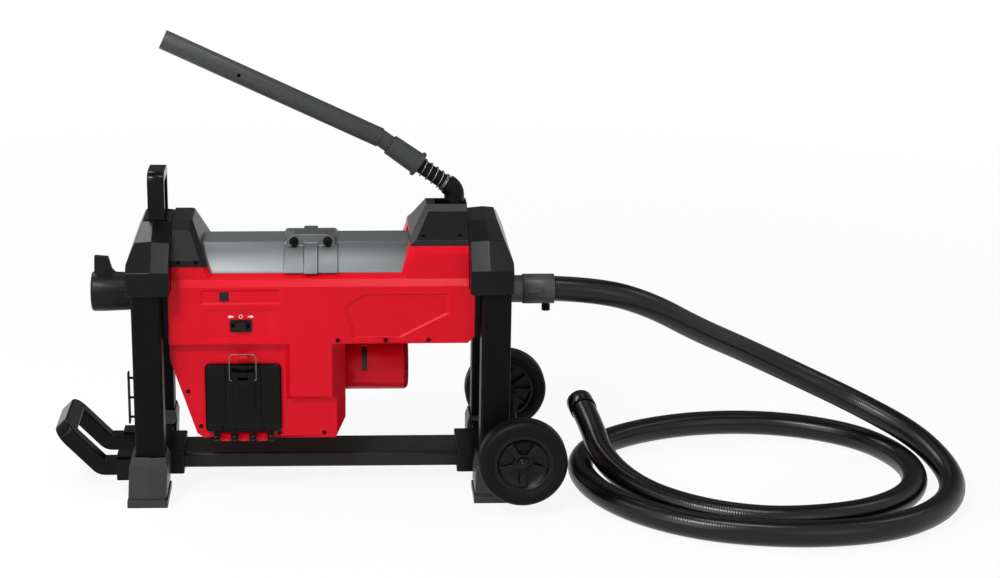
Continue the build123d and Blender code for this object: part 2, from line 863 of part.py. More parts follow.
def make_body_half(side):
    inner = skirt_half + side_gap
    floor = body_bottom + body_wall
    wall_half = body_half - body_wall
    cave_top = body_belt + body_chamfer - body_wall
    rear_bevel = 6.0
    block_inner = tube_r / 2
    block_foot = body_belt + 5
    front_block = make_block(
        side,
        [
            (block_inner, block_foot),
            (shelf_half, block_foot),
            (shelf_half, front_block_top),
            (block_inner, front_block_top),
        ],
        body_x0,
        front_block_x,
        [
            (front_block_x, block_foot),
            (front_block_x - front_block_slant, front_block_top),
            (front_block_x - front_block_slant, front_block_top + 5),
            (front_block_x + 1, front_block_top + 5),
            (front_block_x + 1, block_foot),
        ],
        (front_block_x - front_block_slant / 2, side * shelf_half, (block_foot + front_block_top) / 2),
    )
    rear_block = make_block(
        side,
        [
            (block_inner, block_foot),
            (shelf_half, block_foot),
            (shelf_half, rear_block_top - 2 * rear_bevel),
            (shelf_half - rear_bevel, rear_block_top),
            (block_inner, rear_block_top),
        ],
        rear_block_x,
        body_x1,
        [
            (rear_block_x, block_foot),
            (rear_block_x + rear_block_slant, rear_block_top),
            (rear_block_x + rear_block_slant, rear_block_top + 5),
            (rear_block_x - 1, rear_block_top + 5),
            (rear_block_x - 1, block_foot),
        ],
        (rear_block_x + rear_block_slant / 2, side * shelf_half, (block_foot + rear_block_top) / 2),
    )
    with BuildPart() as half:
        body_profile(
            side,
            [(0, body_bottom), (body_half, body_bottom), (body_half, trunk_top), (0, trunk_top)],
            trunk_x0,
            trunk_x1,
        )
        body_profile(
            side,
            [
                (inner, trunk_top - 1),
                (body_half, trunk_top - 1),
                (body_half, body_belt),
                (shelf_half, body_belt + body_chamfer),
                (inner, body_shelf),
            ],
            body_x0,
            body_x1,
        )
        add(front_block.part)
        add(rear_block.part)
        with BuildSketch(Plane.XZ):
            Polygon(lower_outline)
        extrude(amount=-side * lower_half)
        # raised pad over the belt, beside the battery
        for grow, across in ((0, lower_half), (pad_slope, body_half)):
            with BuildSketch(Plane.XZ.offset(-side * across)):
                Polygon(
                    [
                        (pad_x0 + grow, pad_z0 + grow),
                        (lower_right, pad_z0 + grow),
                        (lower_right, body_bottom + 1),
                        (pad_x0 + grow, body_bottom + 1),
                    ]
                )
        loft(ruled=True)
        # sloped right flank of the battery housing
        with BuildSketch(Plane.XY.offset(lower_bottom - 1)):
            Polygon(
                [
                    (lower_right - side_slope_x, side * (body_half + 1)),
                    (lower_right + 1, side * (body_half + 1)),
                    (lower_right + 1, side * (body_half - side_slope_y)),
                ]
            )
        extrude(amount=body_bottom - lower_bottom + 1, mode=Mode.SUBTRACT)
        slant_cut(
            [
                (trunk_x1 - 12, body_bottom),
                (trunk_x1, body_bottom + 12),
                (trunk_x1 + 1, body_bottom + 12),
                (trunk_x1 + 1, body_bottom),
            ]
        )
        # hollow trunk, open to the drive housing
        body_profile(
            side,
            [
                (-1, floor),
                (wall_half, floor),
                (wall_half, body_belt - 2),
                (shelf_half - 2, cave_top),
                (-1, cave_top),
            ],
            trunk_x0 + body_wall,
            trunk_x1 - body_wall,
            Mode.SUBTRACT,
        )
        with BuildSketch(Plane.YZ.offset(body_x0)):
            tube_face(side_gap)
        extrude(amount=body_x1 - body_x0, mode=Mode.SUBTRACT)
        round_cut(trunk_x0, trunk_x1, collar_r + 3)
        # belt and motor side of the lower housing
        cave_half = lower_half - body_wall
        body_pocket(
            side,
            [
                (door_x + bay_half + 12, lower_bottom + body_wall),
                (lower_right - lower_right_chamfer - 3, lower_bottom + body_wall),
                (lower_right - body_wall, lower_bottom + lower_right_rise + 2),
                (lower_right - body_wall, floor + 1),
                (door_x + bay_half + 12, floor + 1),
            ],
            cave_half - side_slope_y / 2,
        )
        # wedge in front of the battery bay
        wedge_x = door_x - bay_half - 6
        body_pocket(
            side,
            [
                (trunk_x0 + 8, body_bottom - body_wall),
                (trunk_x0 + 8, lower_left_top),
                (lower_left_foot + 8, lower_left_foot_z + 5),
                (wedge_x, lower_left_foot_z + 5),
                (wedge_x, body_bottom - body_wall),
            ],
            cave_half,
        )
        with BuildSketch(Plane.YZ.offset(lower_right - 2 * body_wall)):
            with Locations((0, motor_z)):
                Circle(shaft_r + run_gap)
        extrude(amount=3 * body_wall, mode=Mode.SUBTRACT)
    return half


screw_head_r = 3.6
screw_r = 2.0
screw_head = 3.0
screw_sink = 4.5
screw_length = 9.0
body_screws = [(51.5, 287.0), (133.5, 287.0), (207.0, 287.0)]
lower_screws = [(27.0, 115.0), (-51.0, 114.5), (-208.0, 192.0), (-187.0, 128.0)]


def screw_holes(points, face_y):
    """Counterbored screw seats on the left side, on a face that lies at face_y."""
    for radius, depth in ((screw_head_r + seat_gap, screw_sink), (screw_r + run_gap, screw_length)):
        with BuildSketch(Plane.XZ.offset(-face_y)) as seats:
            with Locations(*points):
                Circle(radius)
        extrude(seats.sketch, amount=-depth, mode=Mode.SUBTRACT)


def hinge_pieces(centres, length, radius, foot_y, foot_z0, foot_z1):
    """Hinge barrels along X, each on a web that runs from the pin to the piece that carries it."""
    for centre in centres:
        with BuildSketch(Plane.YZ.offset(centre - length / 2)) as barrel:
            with Locations((hinge_y, hinge_z)):
                Circle(radius)
            Polygon([(hinge_y, foot_z0), (foot_y, foot_z0), (foot_y, foot_z1), (hinge_y, foot_z1)])
            with Locations((hinge_y, hinge_z)):
                Circle(hinge_pin_r + run_gap, mode=Mode.SUBTRACT)
        extrude(barrel.sketch, amount=length)


def bevelled_recess(x0, x1, z0, z1, slope_x, slope_z, depth):
    """Sunk panel in the left face of the trunk, with sloped sides."""
    face = Plane.XZ.offset(body_half)
    with BuildSketch(face) as rim:
        Polygon([(x0, z0), (x1, z0), (x1, z1), (x0, z1)])
    with BuildSketch(face.offset(-depth)) as floor:
        Polygon(
            [
                (x0 + slope_x, z0 + slope_z),
                (x1 - slope_x, z0 + slope_z),
                (x1 - slope_x, z1 - slope_z),
                (x0 + slope_x, z1 - slope_z),
            ]
        )
    loft([rim.sketch.face(), floor.sketch.face()], ruled=True, mode=Mode.SUBTRACT)


switch_x = (recess_x0 + recess_x1) / 2
switch_z = 314.0
switch_floor = body_half - switch_recess_depth
slot_half_x = 15.5
slot_half_z = 5.0
window_x = -142.0
window_z = (window_recess_z0 + window_recess_z1) / 2
window_size = 15.5
left_half = make_body_half(-1)
with BuildPart() as left_body:
    add(left_half.part)
    bevelled_recess(
        recess_x0, recess_x1, window_recess_z0, window_recess_z1, 5, 3, window_recess_depth
    )
    bevelled_recess(
        recess_x0,
        recess_x1,
        switch_recess_z0,
        switch_recess_z1,
        switch_recess_slope,
        8,
        switch_recess_depth,
    )
    # bare name panel, sunk with sloped walls
    panel_outline = [
        (panel_x0, panel_z1 - panel_nose),
        (panel_x0 + 35, panel_z1),
        (panel_x1, panel_z1),
        (panel_x1, panel_z1 - 35),
        (panel_x1 - 85, panel_z0),
        (panel_x0 + 16, panel_z0),
    ]
    panel_x = (panel_x0 + panel_x1) / 2
    panel_z = (panel_z0 + panel_z1) / 2
    for depth, share in ((0, 1), (panel_depth, panel_floor_share)):
        with BuildSketch(Plane((panel_x, depth - body_half, panel_z), x_dir=(1, 0, 0), z_dir=(0, -1, 0))):
            Polygon([(share * (x - panel_x), share * (z - panel_z)) for x, z in panel_outline])
    loft(ruled=True, mode=Mode.SUBTRACT)
    # switch slot and window seat
    with BuildSketch(Plane.XZ.offset(body_half)):
        with Locations((switch_x, switch_z)):
            Rectangle(2 * slot_half_x, 2 * slot_half_z)
    extrude(amount=-2 * body_wall, mode=Mode.SUBTRACT)
    with BuildSketch(Plane.XZ.offset(body_half - window_recess_depth)):
        with Locations((window_x, window_z)):
            Rectangle(window_size + 2 * seat_gap, window_size + 2 * seat_gap)
    extrude(amount=-1.5, mode=Mode.SUBTRACT)
    # battery bay behind the door
    with BuildSketch(Plane.XZ.offset(-bay_back)):
        with Locations((door_x, (bay_z0 + bay_z1) / 2)):
            Rectangle(2 * bay_half, bay_z1 - bay_z0)
    extrude(amount=lower_half, mode=Mode.SUBTRACT)
    # catch for the wire bail
    catch_top = bail_top_z - bail_wire / 2 - side_gap
    with BuildSketch(Plane.YZ.offset(door_x - catch_half)):
        Polygon(
            [
                (-lower_half, catch_top - 12),
                (-lower_half - catch_depth, catch_top - 6),
                (-lower_half - catch_depth, catch_top),
                (-lower_half, catch_top),
            ]
        )
    extrude(amount=2 * catch_half)
    barrel_centres = [door_x + k * hinge_pitch for k in (-1, 0, 1)]
    hinge_pieces(barrel_centres, barrel_length, hinge_r, -lower_half, hinge_z - 2.6, hinge_z + hinge_r)
    screw_holes(body_screws, -body_half)
    screw_holes(lower_screws, -lower_half)
save(left_body, "left_body")

right_half = make_body_half(1)
with BuildPart() as right_body:
    add(right_half.part)
    body_pocket(
        1,
        [
            (door_x - bay_half, lower_bottom + body_wall),
            (door_x + bay_half + 6, lower_bottom + body_wall),
            (door_x + bay_half + 6, body_bottom - body_wall),
            (door_x - bay_half, body_bottom - body_wall),
        ],
        lower_half - body_wall,
    )
save(right_body, "right_body")

# Motor cover: a red can with a rounded end and a vent slot
with BuildPart() as motor_cover:
    with BuildSketch(Plane.YZ.offset(lower_right)):
        with Locations((0, motor_z)):
            Circle(motor_r)
    extrude(amount=motor_x1 - lower_right)
    rim = motor_cover.edges().filter_by(GeomType.CIRCLE).sort_by(Axis.X)[-1]
    fillet(rim, radius=9)
    with BuildSketch(Plane.YZ.offset(lower_right)):
        with Locations((0, motor_z)):
            Circle(motor_r - motor_wall)
    extrude(amount=motor_x1 - lower_right - 12, mode=Mode.SUBTRACT)
    with BuildSketch(Plane.YZ.offset(motor_x1 - 12)):
        with Locations((0, motor_z)):
            Circle(shaft_r + run_gap)
    extrude(amount=8, mode=Mode.SUBTRACT)
    with BuildSketch(Plane.XZ.offset(motor_r * 0.55)):
        with Locations((98, motor_z + motor_r / 2)):
            Rectangle(9, motor_r)
    extrude(amount=motor_r, mode=Mode.SUBTRACT)
save(motor_cover, "motor_cover")

# Motor: wound stator in the can, rotor with its shaft and belt pulley
stator_bore_r = 25.0
stator_x0 = lower_right
stator_x1 = motor_x1 - 14
with BuildPart() as motor_stator:
    with BuildSketch(Plane.YZ.offset(stator_x0)):
        with Locations((0, motor_z)):
            Circle(motor_r - motor_wall - side_gap)
            Circle(stator_bore_r, mode=Mode.SUBTRACT)
    extrude(amount=stator_x1 - stator_x0)
save(motor_stator, "motor_stator")

with BuildPart() as motor_rotor:
    for radius, x0, x1 in (
        (shaft_r, belt_x0 - 4, motor_x1 - 5),
        (stator_bore_r - 1, stator_x0 + 8, stator_x1 - 8),
        (motor_pulley_r, belt_x0 - 1, belt_x1 + 1),
    ):
        with BuildSketch(Plane.YZ.offset(x0)):
            with Locations((0, motor_z)):
                Circle(radius)
        extrude(amount=x1 - x0)
    for x0 in (belt_x0 - 3.5, belt_x1 + side_gap):
        with BuildSketch(Plane.YZ.offset(x0)):
            with Locations((0, motor_z)):
                Circle(motor_pulley_r + belt_thickness)
        extrude(amount=3)
save(motor_rotor, "motor_rotor")


# Drive belt: a flat loop round both pulleys
def belt_face(grow):
    small = motor_pulley_r + grow
    large = spindle_pulley_r + grow
    lean = math.asin((large - small) / (cable_z - motor_z))
    with Locations((0, motor_z)):
        Circle(small)
    with Locations((0, cable_z)):
        Circle(large)
    across = cos(lean)
    down = sin(lean)
    Polygon(
        [
            (small * across, motor_z - small * down),
            (large * across, cable_z - large * down),
            (-large * across, cable_z - large * down),
            (-small * across, motor_z - small * down),
        ]
    )


with BuildPart() as drive_belt:
    with BuildSketch(Plane.YZ.offset(belt_x0)):
        belt_face(side_gap + belt_thickness)
    extrude(amount=belt_x1 - belt_x0)
    with BuildSketch(Plane.YZ.offset(belt_x0)):
        belt_face(side_gap)
    extrude(amount=belt_x1 - belt_x0, mode=Mode.SUBTRACT)
save(drive_belt, "drive_belt")


# Spindle: hollow shaft with three windows for the jaws, its pulley and bearings
def ring(x0, x1, outer, inner):
    """Round ring about the cable axis."""
    with BuildSketch(Plane.YZ.offset(x0)) as section:
        with Locations((0, cable_z)):
            Circle(outer)
            Circle(inner, mode=Mode.SUBTRACT)
    extrude(section.sketch, amount=x1 - x0)


with BuildPart() as spindle:
    ring(spindle_x0, spindle_x1, spindle_r, spindle_bore_r)
    for k in range(3):
        spoke = Plane(
            (jaw_x0 - seat_gap, 0, cable_z),
            x_dir=(0, cos(rad(120 * k)), sin(rad(120 * k))),
            z_dir=(1, 0, 0),
        )
        with BuildSketch(spoke):
            with Locations((spindle_r, 0)):
                Rectangle(spindle_r, jaw_width + 2 * seat_gap)
        extrude(amount=jaw_x1 - jaw_x0 + 2 * seat_gap, mode=Mode.SUBTRACT)
save(spindle, "spindle")

with BuildPart() as spindle_pulley:
    ring(belt_x0 - 1, belt_x1 + 1, spindle_pulley_r, spindle_r + run_gap)
save(spindle_pulley, "spindle_pulley")

with BuildPart() as bearings:
    ring(front_bearing_x, front_bearing_x + bearing_length, bearing_r - run_gap, spindle_r + run_gap)
    ring(pocket_x, pocket_x + bearing_length, bearing_r - run_gap, spindle_r + run_gap)
save(bearings, "bearings")


# Clutch: a collar with a conical bore, drawn over three jaws by the lever
def cone_r(x):
    return cone_bore_r + (x - cone_x0) * tan(rad(cone_angle))


groove_x0 = lever_x - groove_width / 2
with BuildPart() as clutch_collar:
    with BuildSketch(Plane.XZ):
        Polygon(
            [
                (cone_x0, cable_z + cone_r(cone_x0)),
                (cone_x0, cable_z + cone_r(cone_x0) + 8),
                (cone_x1, cable_z + collar_r - 2),
                (cone_x1, cable_z + collar_r),
                (groove_x0, cable_z + collar_r),
                (groove_x0, cable_z + groove_r),
                (groove_x0 + groove_width, cable_z + groove_r),
                (groove_x0 + groove_width, cable_z + collar_r),
                (collar_end, cable_z + collar_r),
                (collar_end, cable_z + spindle_r + run_gap),
                (cone_x1, cable_z + spindle_r + run_gap),
                (cone_x1, cable_z + cone_r(cone_x1)),
            ]
        )
    revolve(axis=Axis((0, 0, cable_z), (1, 0, 0)))
save(clutch_collar, "clutch_collar")

for k in range(3):
    spread = rad(120 * k)
    with BuildPart() as jaw:
        with BuildSketch(Plane.XZ):
            Polygon(
                [
                    (jaw_x0, cable_z + spindle_bore_r),
                    (jaw_x1, cable_z + spindle_bore_r),
                    (jaw_x1, cable_z + cone_r(jaw_x1) - side_gap),
                    (jaw_x0, cable_z + cone_r(jaw_x0) - side_gap),
                ]
            )
        revolve(axis=Axis((0, 0, cable_z), (1, 0, 0)))
        spoke = Plane((jaw_x0, 0, cable_z), x_dir=(0, cos(spread), sin(spread)), z_dir=(1, 0, 0))
        with BuildSketch(spoke):
            with Locations((collar_r / 2, 0)):
                Rectangle(collar_r, jaw_width)
        extrude(amount=jaw_x1 - jaw_x0, mode=Mode.INTERSECT)
    save(jaw, f"jaw_{k + 1}")


# Black covers on the drive housing
def roof(points, x0, x1, mode=Mode.ADD):
    with BuildSketch(Plane.YZ.offset(x0)) as profile:
        Polygon(points + [(-y, z) for y, z in reversed(points)])
    extrude(profile.sketch, amount=x1 - x0, mode=mode)


front_bevel_z = arch_top - 13.0
front_eave_share = 0.2
front_eave_z = front_block_top + front_eave_share * (front_bevel_z - front_block_top)
front_eave_half = 102.0
front_screw_z = front_block_top + 7.5
front_cover_screws = [(-219.5, front_screw_z), (-189.0, front_screw_z)]
with BuildPart() as front_cover:
    roof(
        [
            (front_eave_half, front_block_top),
            (front_eave_half, front_eave_z),
            (arch_top_half + 17, front_bevel_z),
            (arch_top_half, arch_top),
        ],
        body_x0,
        front_cover_x1,
    )
    slant_cut(
        [
            (front_cover_x1, front_block_top),
            (front_cover_x1 - front_cover_slant, arch_top),
            (front_cover_x1 - front_cover_slant, arch_top + 5),
            (front_cover_x1 + 1, arch_top + 5),
            (front_cover_x1 + 1, front_block_top),
        ]
    )
    for side in (-1, 1):
        corner_z = (front_eave_z + front_bevel_z) / 2
        corner = (front_cover_x1 - front_cover_slant / 2, side * (arch_top_half + 37), corner_z)
        chamfer(front_cover.edges().sort_by_distance(corner)[0], length=cover_bevel)
    roof(
        [
            (front_eave_half - 2 * cover_wall, front_block_top),
            (front_eave_half - 2 * cover_wall, front_eave_z),
            (arch_top_half + 14, front_bevel_z - cover_wall),
            (arch_top_half - 3, arch_top - cover_wall),
        ],
        body_x0,
        front_cover_x1 - front_cover_slant - cover_wall,
        Mode.SUBTRACT,
    )
    with BuildSketch(Plane.YZ.offset(body_x0)):
        tube_face(seat_gap)
    extrude(amount=front_cover_x1 - body_x0, mode=Mode.SUBTRACT)
    screw_holes(front_cover_screws, -front_eave_half)
save(front_cover, "front_cover")

rear_eave_half = 95.0
rear_eave_z = rear_block_top + 8.5
rear_ridge_half = 21.0
rear_bevel = 11.0
slot_half = lever_hub_half + 1
rear_screw_z = rear_eave_z + 4.5
rear_cover_screws = [(198.0, rear_screw_z), (261.0, rear_screw_z)]
rear_screw_y = 82.0
with BuildPart() as rear_cover:
    roof(
        [
            (rear_eave_half, rear_block_top),
            (rear_eave_half - 5, rear_eave_z),
            (rear_ridge_half + rear_bevel, rear_cover_top - rear_bevel),
            (rear_ridge_half, rear_cover_top),
        ],
        rear_cover_x0,
        rear_cover_x1,
    )
    slant_cut(
        [
            (rear_cover_x0 - 1, rear_eave_z),
            (rear_cover_x0, rear_eave_z),
            (rear_cover_x0 + 30, rear_cover_top),
            (rear_cover_x0 + 30, rear_cover_top + 5),
            (rear_cover_x0 - 1, rear_cover_top + 5),
        ]
    )
    for side in (-1, 1):
        corner = (rear_cover_x0 + 11, side * 61, rear_eave_z + 18)
        chamfer(rear_cover.edges().sort_by_distance(corner)[0], length=cover_bevel)
    roof(
        [
            (rear_eave_half - 4 * cover_wall, rear_block_top),
            (rear_ridge_half + rear_bevel - 4, rear_cover_top - rear_bevel - cover_wall),
            (rear_ridge_half - 2, rear_cover_top - cover_wall),
        ],
        rear_cover_x0 + 36,
        rear_cover_x1,
        Mode.SUBTRACT,
    )
    with BuildSketch(Plane.YZ.offset(rear_cover_x0)):
        tube_face(seat_gap)
    extrude(amount=rear_cover_x1 - rear_cover_x0, mode=Mode.SUBTRACT)
    slot_x0 = lever_x - 34
    slot_x1 = lever_x + elbow_r + 2
    with BuildSketch(Plane.XY.offset(rear_cover_top - 2 * rear_bevel)):
        with Locations(((slot_x0 + slot_x1) / 2, 0)):
            Rectangle(slot_x1 - slot_x0, 2 * slot_half)
    extrude(amount=4 * rear_bevel, mode=Mode.SUBTRACT)
    screw_holes(rear_cover_screws, -rear_screw_y)
save(rear_cover, "rear_cover")

# Screws of the body and covers, all of one kind
with BuildPart() as case_screws:
    for points, face_y in (
        (body_screws, body_half),
        (lower_screws, lower_half),
        (front_cover_screws, front_eave_half),
        (rear_cover_screws, rear_screw_y),
    ):
        seat = Plane.XZ.offset(face_y - screw_sink)
        for radius, length in ((screw_head_r, screw_head), (screw_r, screw_sink - screw_length)):
            with BuildSketch(seat):
                with Locations(*points):
                    Circle(radius)
            extrude(amount=length)
save(case_screws, "case_screws")

# Indicator window and sliding direction switch
with BuildPart() as indicator_window:
    with BuildSketch(Plane.XZ.offset(body_half - window_recess_depth - 1.5)):
        with Locations((window_x, window_z)):
            Rectangle(window_size, window_size)
    extrude(amount=2.2)
save(indicator_window, "indicator_window")

bezel_half_x = 19.0
bezel_half_z = 11.0
bezel_height = 2.0
knob_half_x = 7.0
knob_half_z = slot_half_z - side_gap
with BuildPart() as switch_bezel:
    with BuildSketch(Plane.XZ.offset(switch_floor)):
        with Locations((switch_x, switch_z)):
            RectangleRounded(2 * bezel_half_x, 2 * bezel_half_z, 3)
            Rectangle(2 * slot_half_x, 2 * slot_half_z, mode=Mode.SUBTRACT)
    extrude(amount=bezel_height)
save(switch_bezel, "switch_bezel")

with BuildPart() as direction_switch:
    with BuildSketch(Plane.XZ.offset(body_half - body_wall)):
        with Locations((switch_x, switch_z)):
            Rectangle(2 * knob_half_x, 2 * knob_half_z)
    extrude(amount=body_wall + bezel_height)
    with BuildSketch(Plane.XZ.offset(switch_floor + bezel_height + side_gap)):
        with Locations((switch_x, switch_z)):
            RectangleRounded(2 * knob_half_x + 6, 2 * bezel_half_z - 5, 3)
    extrude(amount=5, taper=10)
save(direction_switch, "direction_switch")

# Battery door: framed panel with a sunk middle, hinge knuckles below and a latch ear
door_inner = lower_half + side_gap
door_outer = door_inner + door_thickness
door_middle = (door_z0 + door_z1) / 2
with BuildPart() as battery_door:
    with BuildSketch(Plane.XZ.offset(door_inner)):
        with Locations((door_x, door_middle)):
            RectangleRounded(door_width, door_z1 - door_z0, door_corner)
    extrude(amount=door_thickness)
    rim = battery_door.faces().sort_by(Axis.Y)[0].edges()
    chamfer(rim, length=3)
    trough_half = 31.0
    with BuildSketch(Plane.XZ.offset(door_outer)):
        Polygon(
            [
                (door_x - trough_half - 6, door_z0 + 6),
                (door_x + trough_half + 6, door_z0 + 6),
                (door_x + trough_half, door_z0 + 26),
                (door_x + trough_half, door_z1 + 1),
                (door_x - trough_half, door_z1 + 1),
                (door_x - trough_half, door_z0 + 26),
            ]
        )
    extrude(amount=-2.5, mode=Mode.SUBTRACT)
    with BuildSketch(Plane.YZ.offset(door_x - latch_ear)):
        ear_y = -door_outer + 3
        Polygon(
            [
                (ear_y, latch_pivot_z - 7),
                (latch_pivot_y - 4, latch_pivot_z - 4),
                (latch_pivot_y - 4, latch_pivot_z + 4),
                (ear_y, latch_pivot_z + 7),
            ]
        )
        with Locations((latch_pivot_y, latch_pivot_z)):
            Circle(hinge_pin_r + run_gap, mode=Mode.SUBTRACT)
    extrude(amount=2 * latch_ear)
    knuckle_centres = [door_x + k * hinge_pitch for k in (-1.5, -0.5, 0.5, 1.5)]
    hinge_pieces(
        knuckle_centres, knuckle_length, hinge_r - side_gap, -door_inner - 2, hinge_z, door_z0 + 2
    )
save(battery_door, "battery_door")

# Latch lever: a flat moulded lever with its own pivot pin, and holes for the bail
latch_y = latch_pivot_y + latch_thickness / 2
with BuildPart() as latch_lever:
    with BuildSketch(Plane.YZ.offset(door_x - latch_half)):
        Polygon(
            [
                (latch_y, latch_z0 + 6),
                (latch_y - 9, latch_z0),
                (latch_y - latch_thickness, latch_z0 + 12),
                (latch_y - latch_thickness, latch_pivot_z + 5),
                (latch_y, latch_pivot_z + 5),
            ]
        )
    extrude(amount=2 * latch_half)
    with BuildSketch(Plane.XZ.offset(-latch_y - 3)):
        with Locations((door_x, latch_pivot_z)):
            Rectangle(2 * (latch_ear + side_gap), 20)
    extrude(amount=20, mode=Mode.SUBTRACT)
    with BuildSketch(Plane.YZ.offset(door_x - latch_half)):
        with Locations((latch_pivot_y, latch_pivot_z)):
            Circle(hinge_pin_r)
    extrude(amount=2 * latch_half)
    with BuildSketch(Plane.YZ.offset(door_x - latch_half)):
        with Locations((latch_pivot_y, bail_pivot_z)):
            Circle(bail_wire / 2 + run_gap)
    extrude(amount=2 * latch_half, mode=Mode.SUBTRACT)
save(latch_lever, "latch_lever")

# Wire bail: one bent wire whose ends turn into the latch lever
bail_low = (latch_pivot_y, bail_pivot_z)
bail_points = [
    (door_x - bail_half + 9, *bail_low),
    (door_x - bail_half, *bail_low),
    (door_x - bail_half, latch_pivot_y, bail_top_z - 6),
    (door_x - bail_half + 4, latch_pivot_y, bail_top_z),
    (door_x + bail_half - 4, latch_pivot_y, bail_top_z),
    (door_x + bail_half, latch_pivot_y, bail_top_z - 6),
    (door_x + bail_half, *bail_low),
    (door_x + bail_half - 9, *bail_low),
]
with BuildPart() as latch_bail:
    with BuildLine():
        FilletPolyline(*bail_points, radius=2.0)
    with BuildSketch(Plane(bail_points[0], x_dir=(0, 1, 0), z_dir=(-1, 0, 0))):
        Circle(bail_wire / 2)
    sweep()
save(latch_bail, "latch_bail")

# Battery pack on the bay floor, with its slide rails and release buttons
pack_half = 50.0
pack_height = 96.0
with BuildPart() as battery_pack:
    with BuildSketch(Plane.XZ.offset(-bay_back + 14)):
        with Locations((door_x, bay_z0 + pack_height / 2)):
            RectangleRounded(2 * pack_half, pack_height, 6)
    extrude(amount=lower_half + bay_back - 18)
    with BuildSketch(Plane.XZ.offset(-bay_back)):
        with Locations((door_x, bay_z0 + pack_height / 2)):
            Rectangle(2 * pack_half - 34, pack_height - 20)
    extrude(amount=14)
    with BuildSketch(Plane.XZ.offset(lower_half - 4)):
        with Locations((door_x, bay_z0 + pack_height * 0.7)):
            with GridLocations(2 * pack_half - 24, 1, 2, 1):
                Rectangle(12, 22)
    extrude(amount=1.5)
save(battery_pack, "battery_pack")

# Control board with its heat sink, on the inner face of the right half
board_y = lower_half - body_wall
with BuildPart() as control_board:
    with BuildSketch(Plane.XZ.offset(-board_y)):
        with Locations((door_x, 200)):
            Rectangle(90, 110)
    extrude(amount=5)
    with BuildSketch(Plane.XZ.offset(-board_y + 5)):
        with Locations((door_x - 18, 225), (door_x + 20, 225), (door_x, 180)):
            Rectangle(26, 24)
    extrude(amount=14)
save(control_board, "control_board")

# Lever bracket: a base on the flat land of the drive housing with two cheeks
cheek = 6.0
bracket_x0 = lever_x - 26
with BuildPart() as lever_bracket:
    with BuildSketch(Plane.XY.offset(land_z)):
        with Locations(((bracket_x0 + rear_arch_x0) / 2, 0)):
            Rectangle(rear_arch_x0 - bracket_x0, 2 * (lever_hub_half + cheek + 4))
        with Locations(((fork_slot_x + rear_arch_x0) / 2, 0)):
            Rectangle(rear_arch_x0 - fork_slot_x, 2 * fork_slot_half, mode=Mode.SUBTRACT)
    extrude(amount=4)
    for side in (-1, 1):
        with BuildSketch(Plane.XZ.offset(-side * (lever_hub_half + side_gap))):
            with Locations((lever_x, lever_z)):
                Circle(lever_hub_r - 1)
            with Locations((lever_x, (land_z + lever_z) / 2)):
                Rectangle(2 * lever_hub_r - 2, lever_z - land_z)
            with Locations((lever_x, lever_z)):
                Circle(lever_pin_r + run_gap, mode=Mode.SUBTRACT)
        extrude(amount=-side * cheek)
save(lever_bracket, "lever_bracket")

# Steel pivot pins: clamp lever, feed lever and battery door
with BuildPart() as pivot_pins:
    with BuildSketch(Plane.XZ):
        with Locations((lever_x, lever_z)):
            Circle(lever_pin_r)
    extrude(amount=lever_hub_half + side_gap + cheek, both=True)
    with BuildSketch(Plane.XZ):
        with Locations((feed_x, feed_z)):
            Circle(feed_pin_r)
    extrude(amount=feed_half, both=True)
    pin_half = 1.5 * hinge_pitch + knuckle_length / 2
    with BuildSketch(Plane.YZ.offset(door_x - pin_half)):
        with Locations((hinge_y, hinge_z)):
            Circle(hinge_pin_r)
    extrude(amount=2 * pin_half)
save(pivot_pins, "pivot_pins")

# Clamp lever arm: hub on the pin, fork in the collar's groove, elbow and rod
rod_dir = Vector(-cos(rad(rod_angle)), 0, sin(rad(rod_angle)))
elbow = Vector(lever_x, 0, elbow_z)


def rod_plane(distance):
    """Plane square to the rod, at a distance from the elbow's corner."""
    return Plane(elbow + rod_dir * distance, x_dir=(0, 1, 0), z_dir=rod_dir)


fork_end = cable_z + groove_r + 1.5
with BuildPart() as lever_arm:
    with BuildLine():
        FilletPolyline((lever_x, 0, lever_z), elbow, elbow + rod_dir * spring_start, radius=elbow_bend_r)
    with BuildSketch(Plane((lever_x, 0, lever_z))):
        Circle(elbow_r)
    sweep()
    with BuildSketch(rod_plane(spring_start)):
        Circle(rod_r)
    extrude(amount=rod_end - spring_start)
    with BuildSketch(Plane.XZ):
        with Locations((lever_x, lever_z)):
            Circle(lever_hub_r)
    extrude(amount=lever_hub_half, both=True)
    with BuildSketch(Plane.XY.offset(fork_end)):
        with Locations((lever_x, 0)):
            Rectangle(fork_thickness, 2 * fork_half)
    extrude(amount=lever_z - fork_end)
    with BuildSketch(Plane.XZ):
        with Locations((lever_x, lever_z)):
            Circle(lever_pin_r + run_gap)
    extrude(amount=2 * lever_hub_half, both=True, mode=Mode.SUBTRACT)
save(lever_arm, "lever_arm")


# Compression spring on the rod: one wire whose ends turn to meet the elbow and the sleeve squarely
def biarc(p0, t0, p1, t1):
    """Two tangent arcs from p0 to p1 with the given end directions."""
    gap = p1 - p0
    ends = t0 + t1
    a = 2 * (1 - t0.dot(t1))
    b = 2 * gap.dot(ends)
    c = -gap.dot(gap)
    reach = -c / b if abs(a) < 1e-9 else (-b + math.sqrt(b * b - 4 * a * c)) / (2 * a)
    joint = (p0 + t0 * reach + p1 - t1 * reach) * 0.5
    middle = (p1 - t1 * reach - p0 - t0 * reach).normalized()
    TangentArc(p0, joint, tangent=t0)
    TangentArc(joint, p1, tangent=middle)


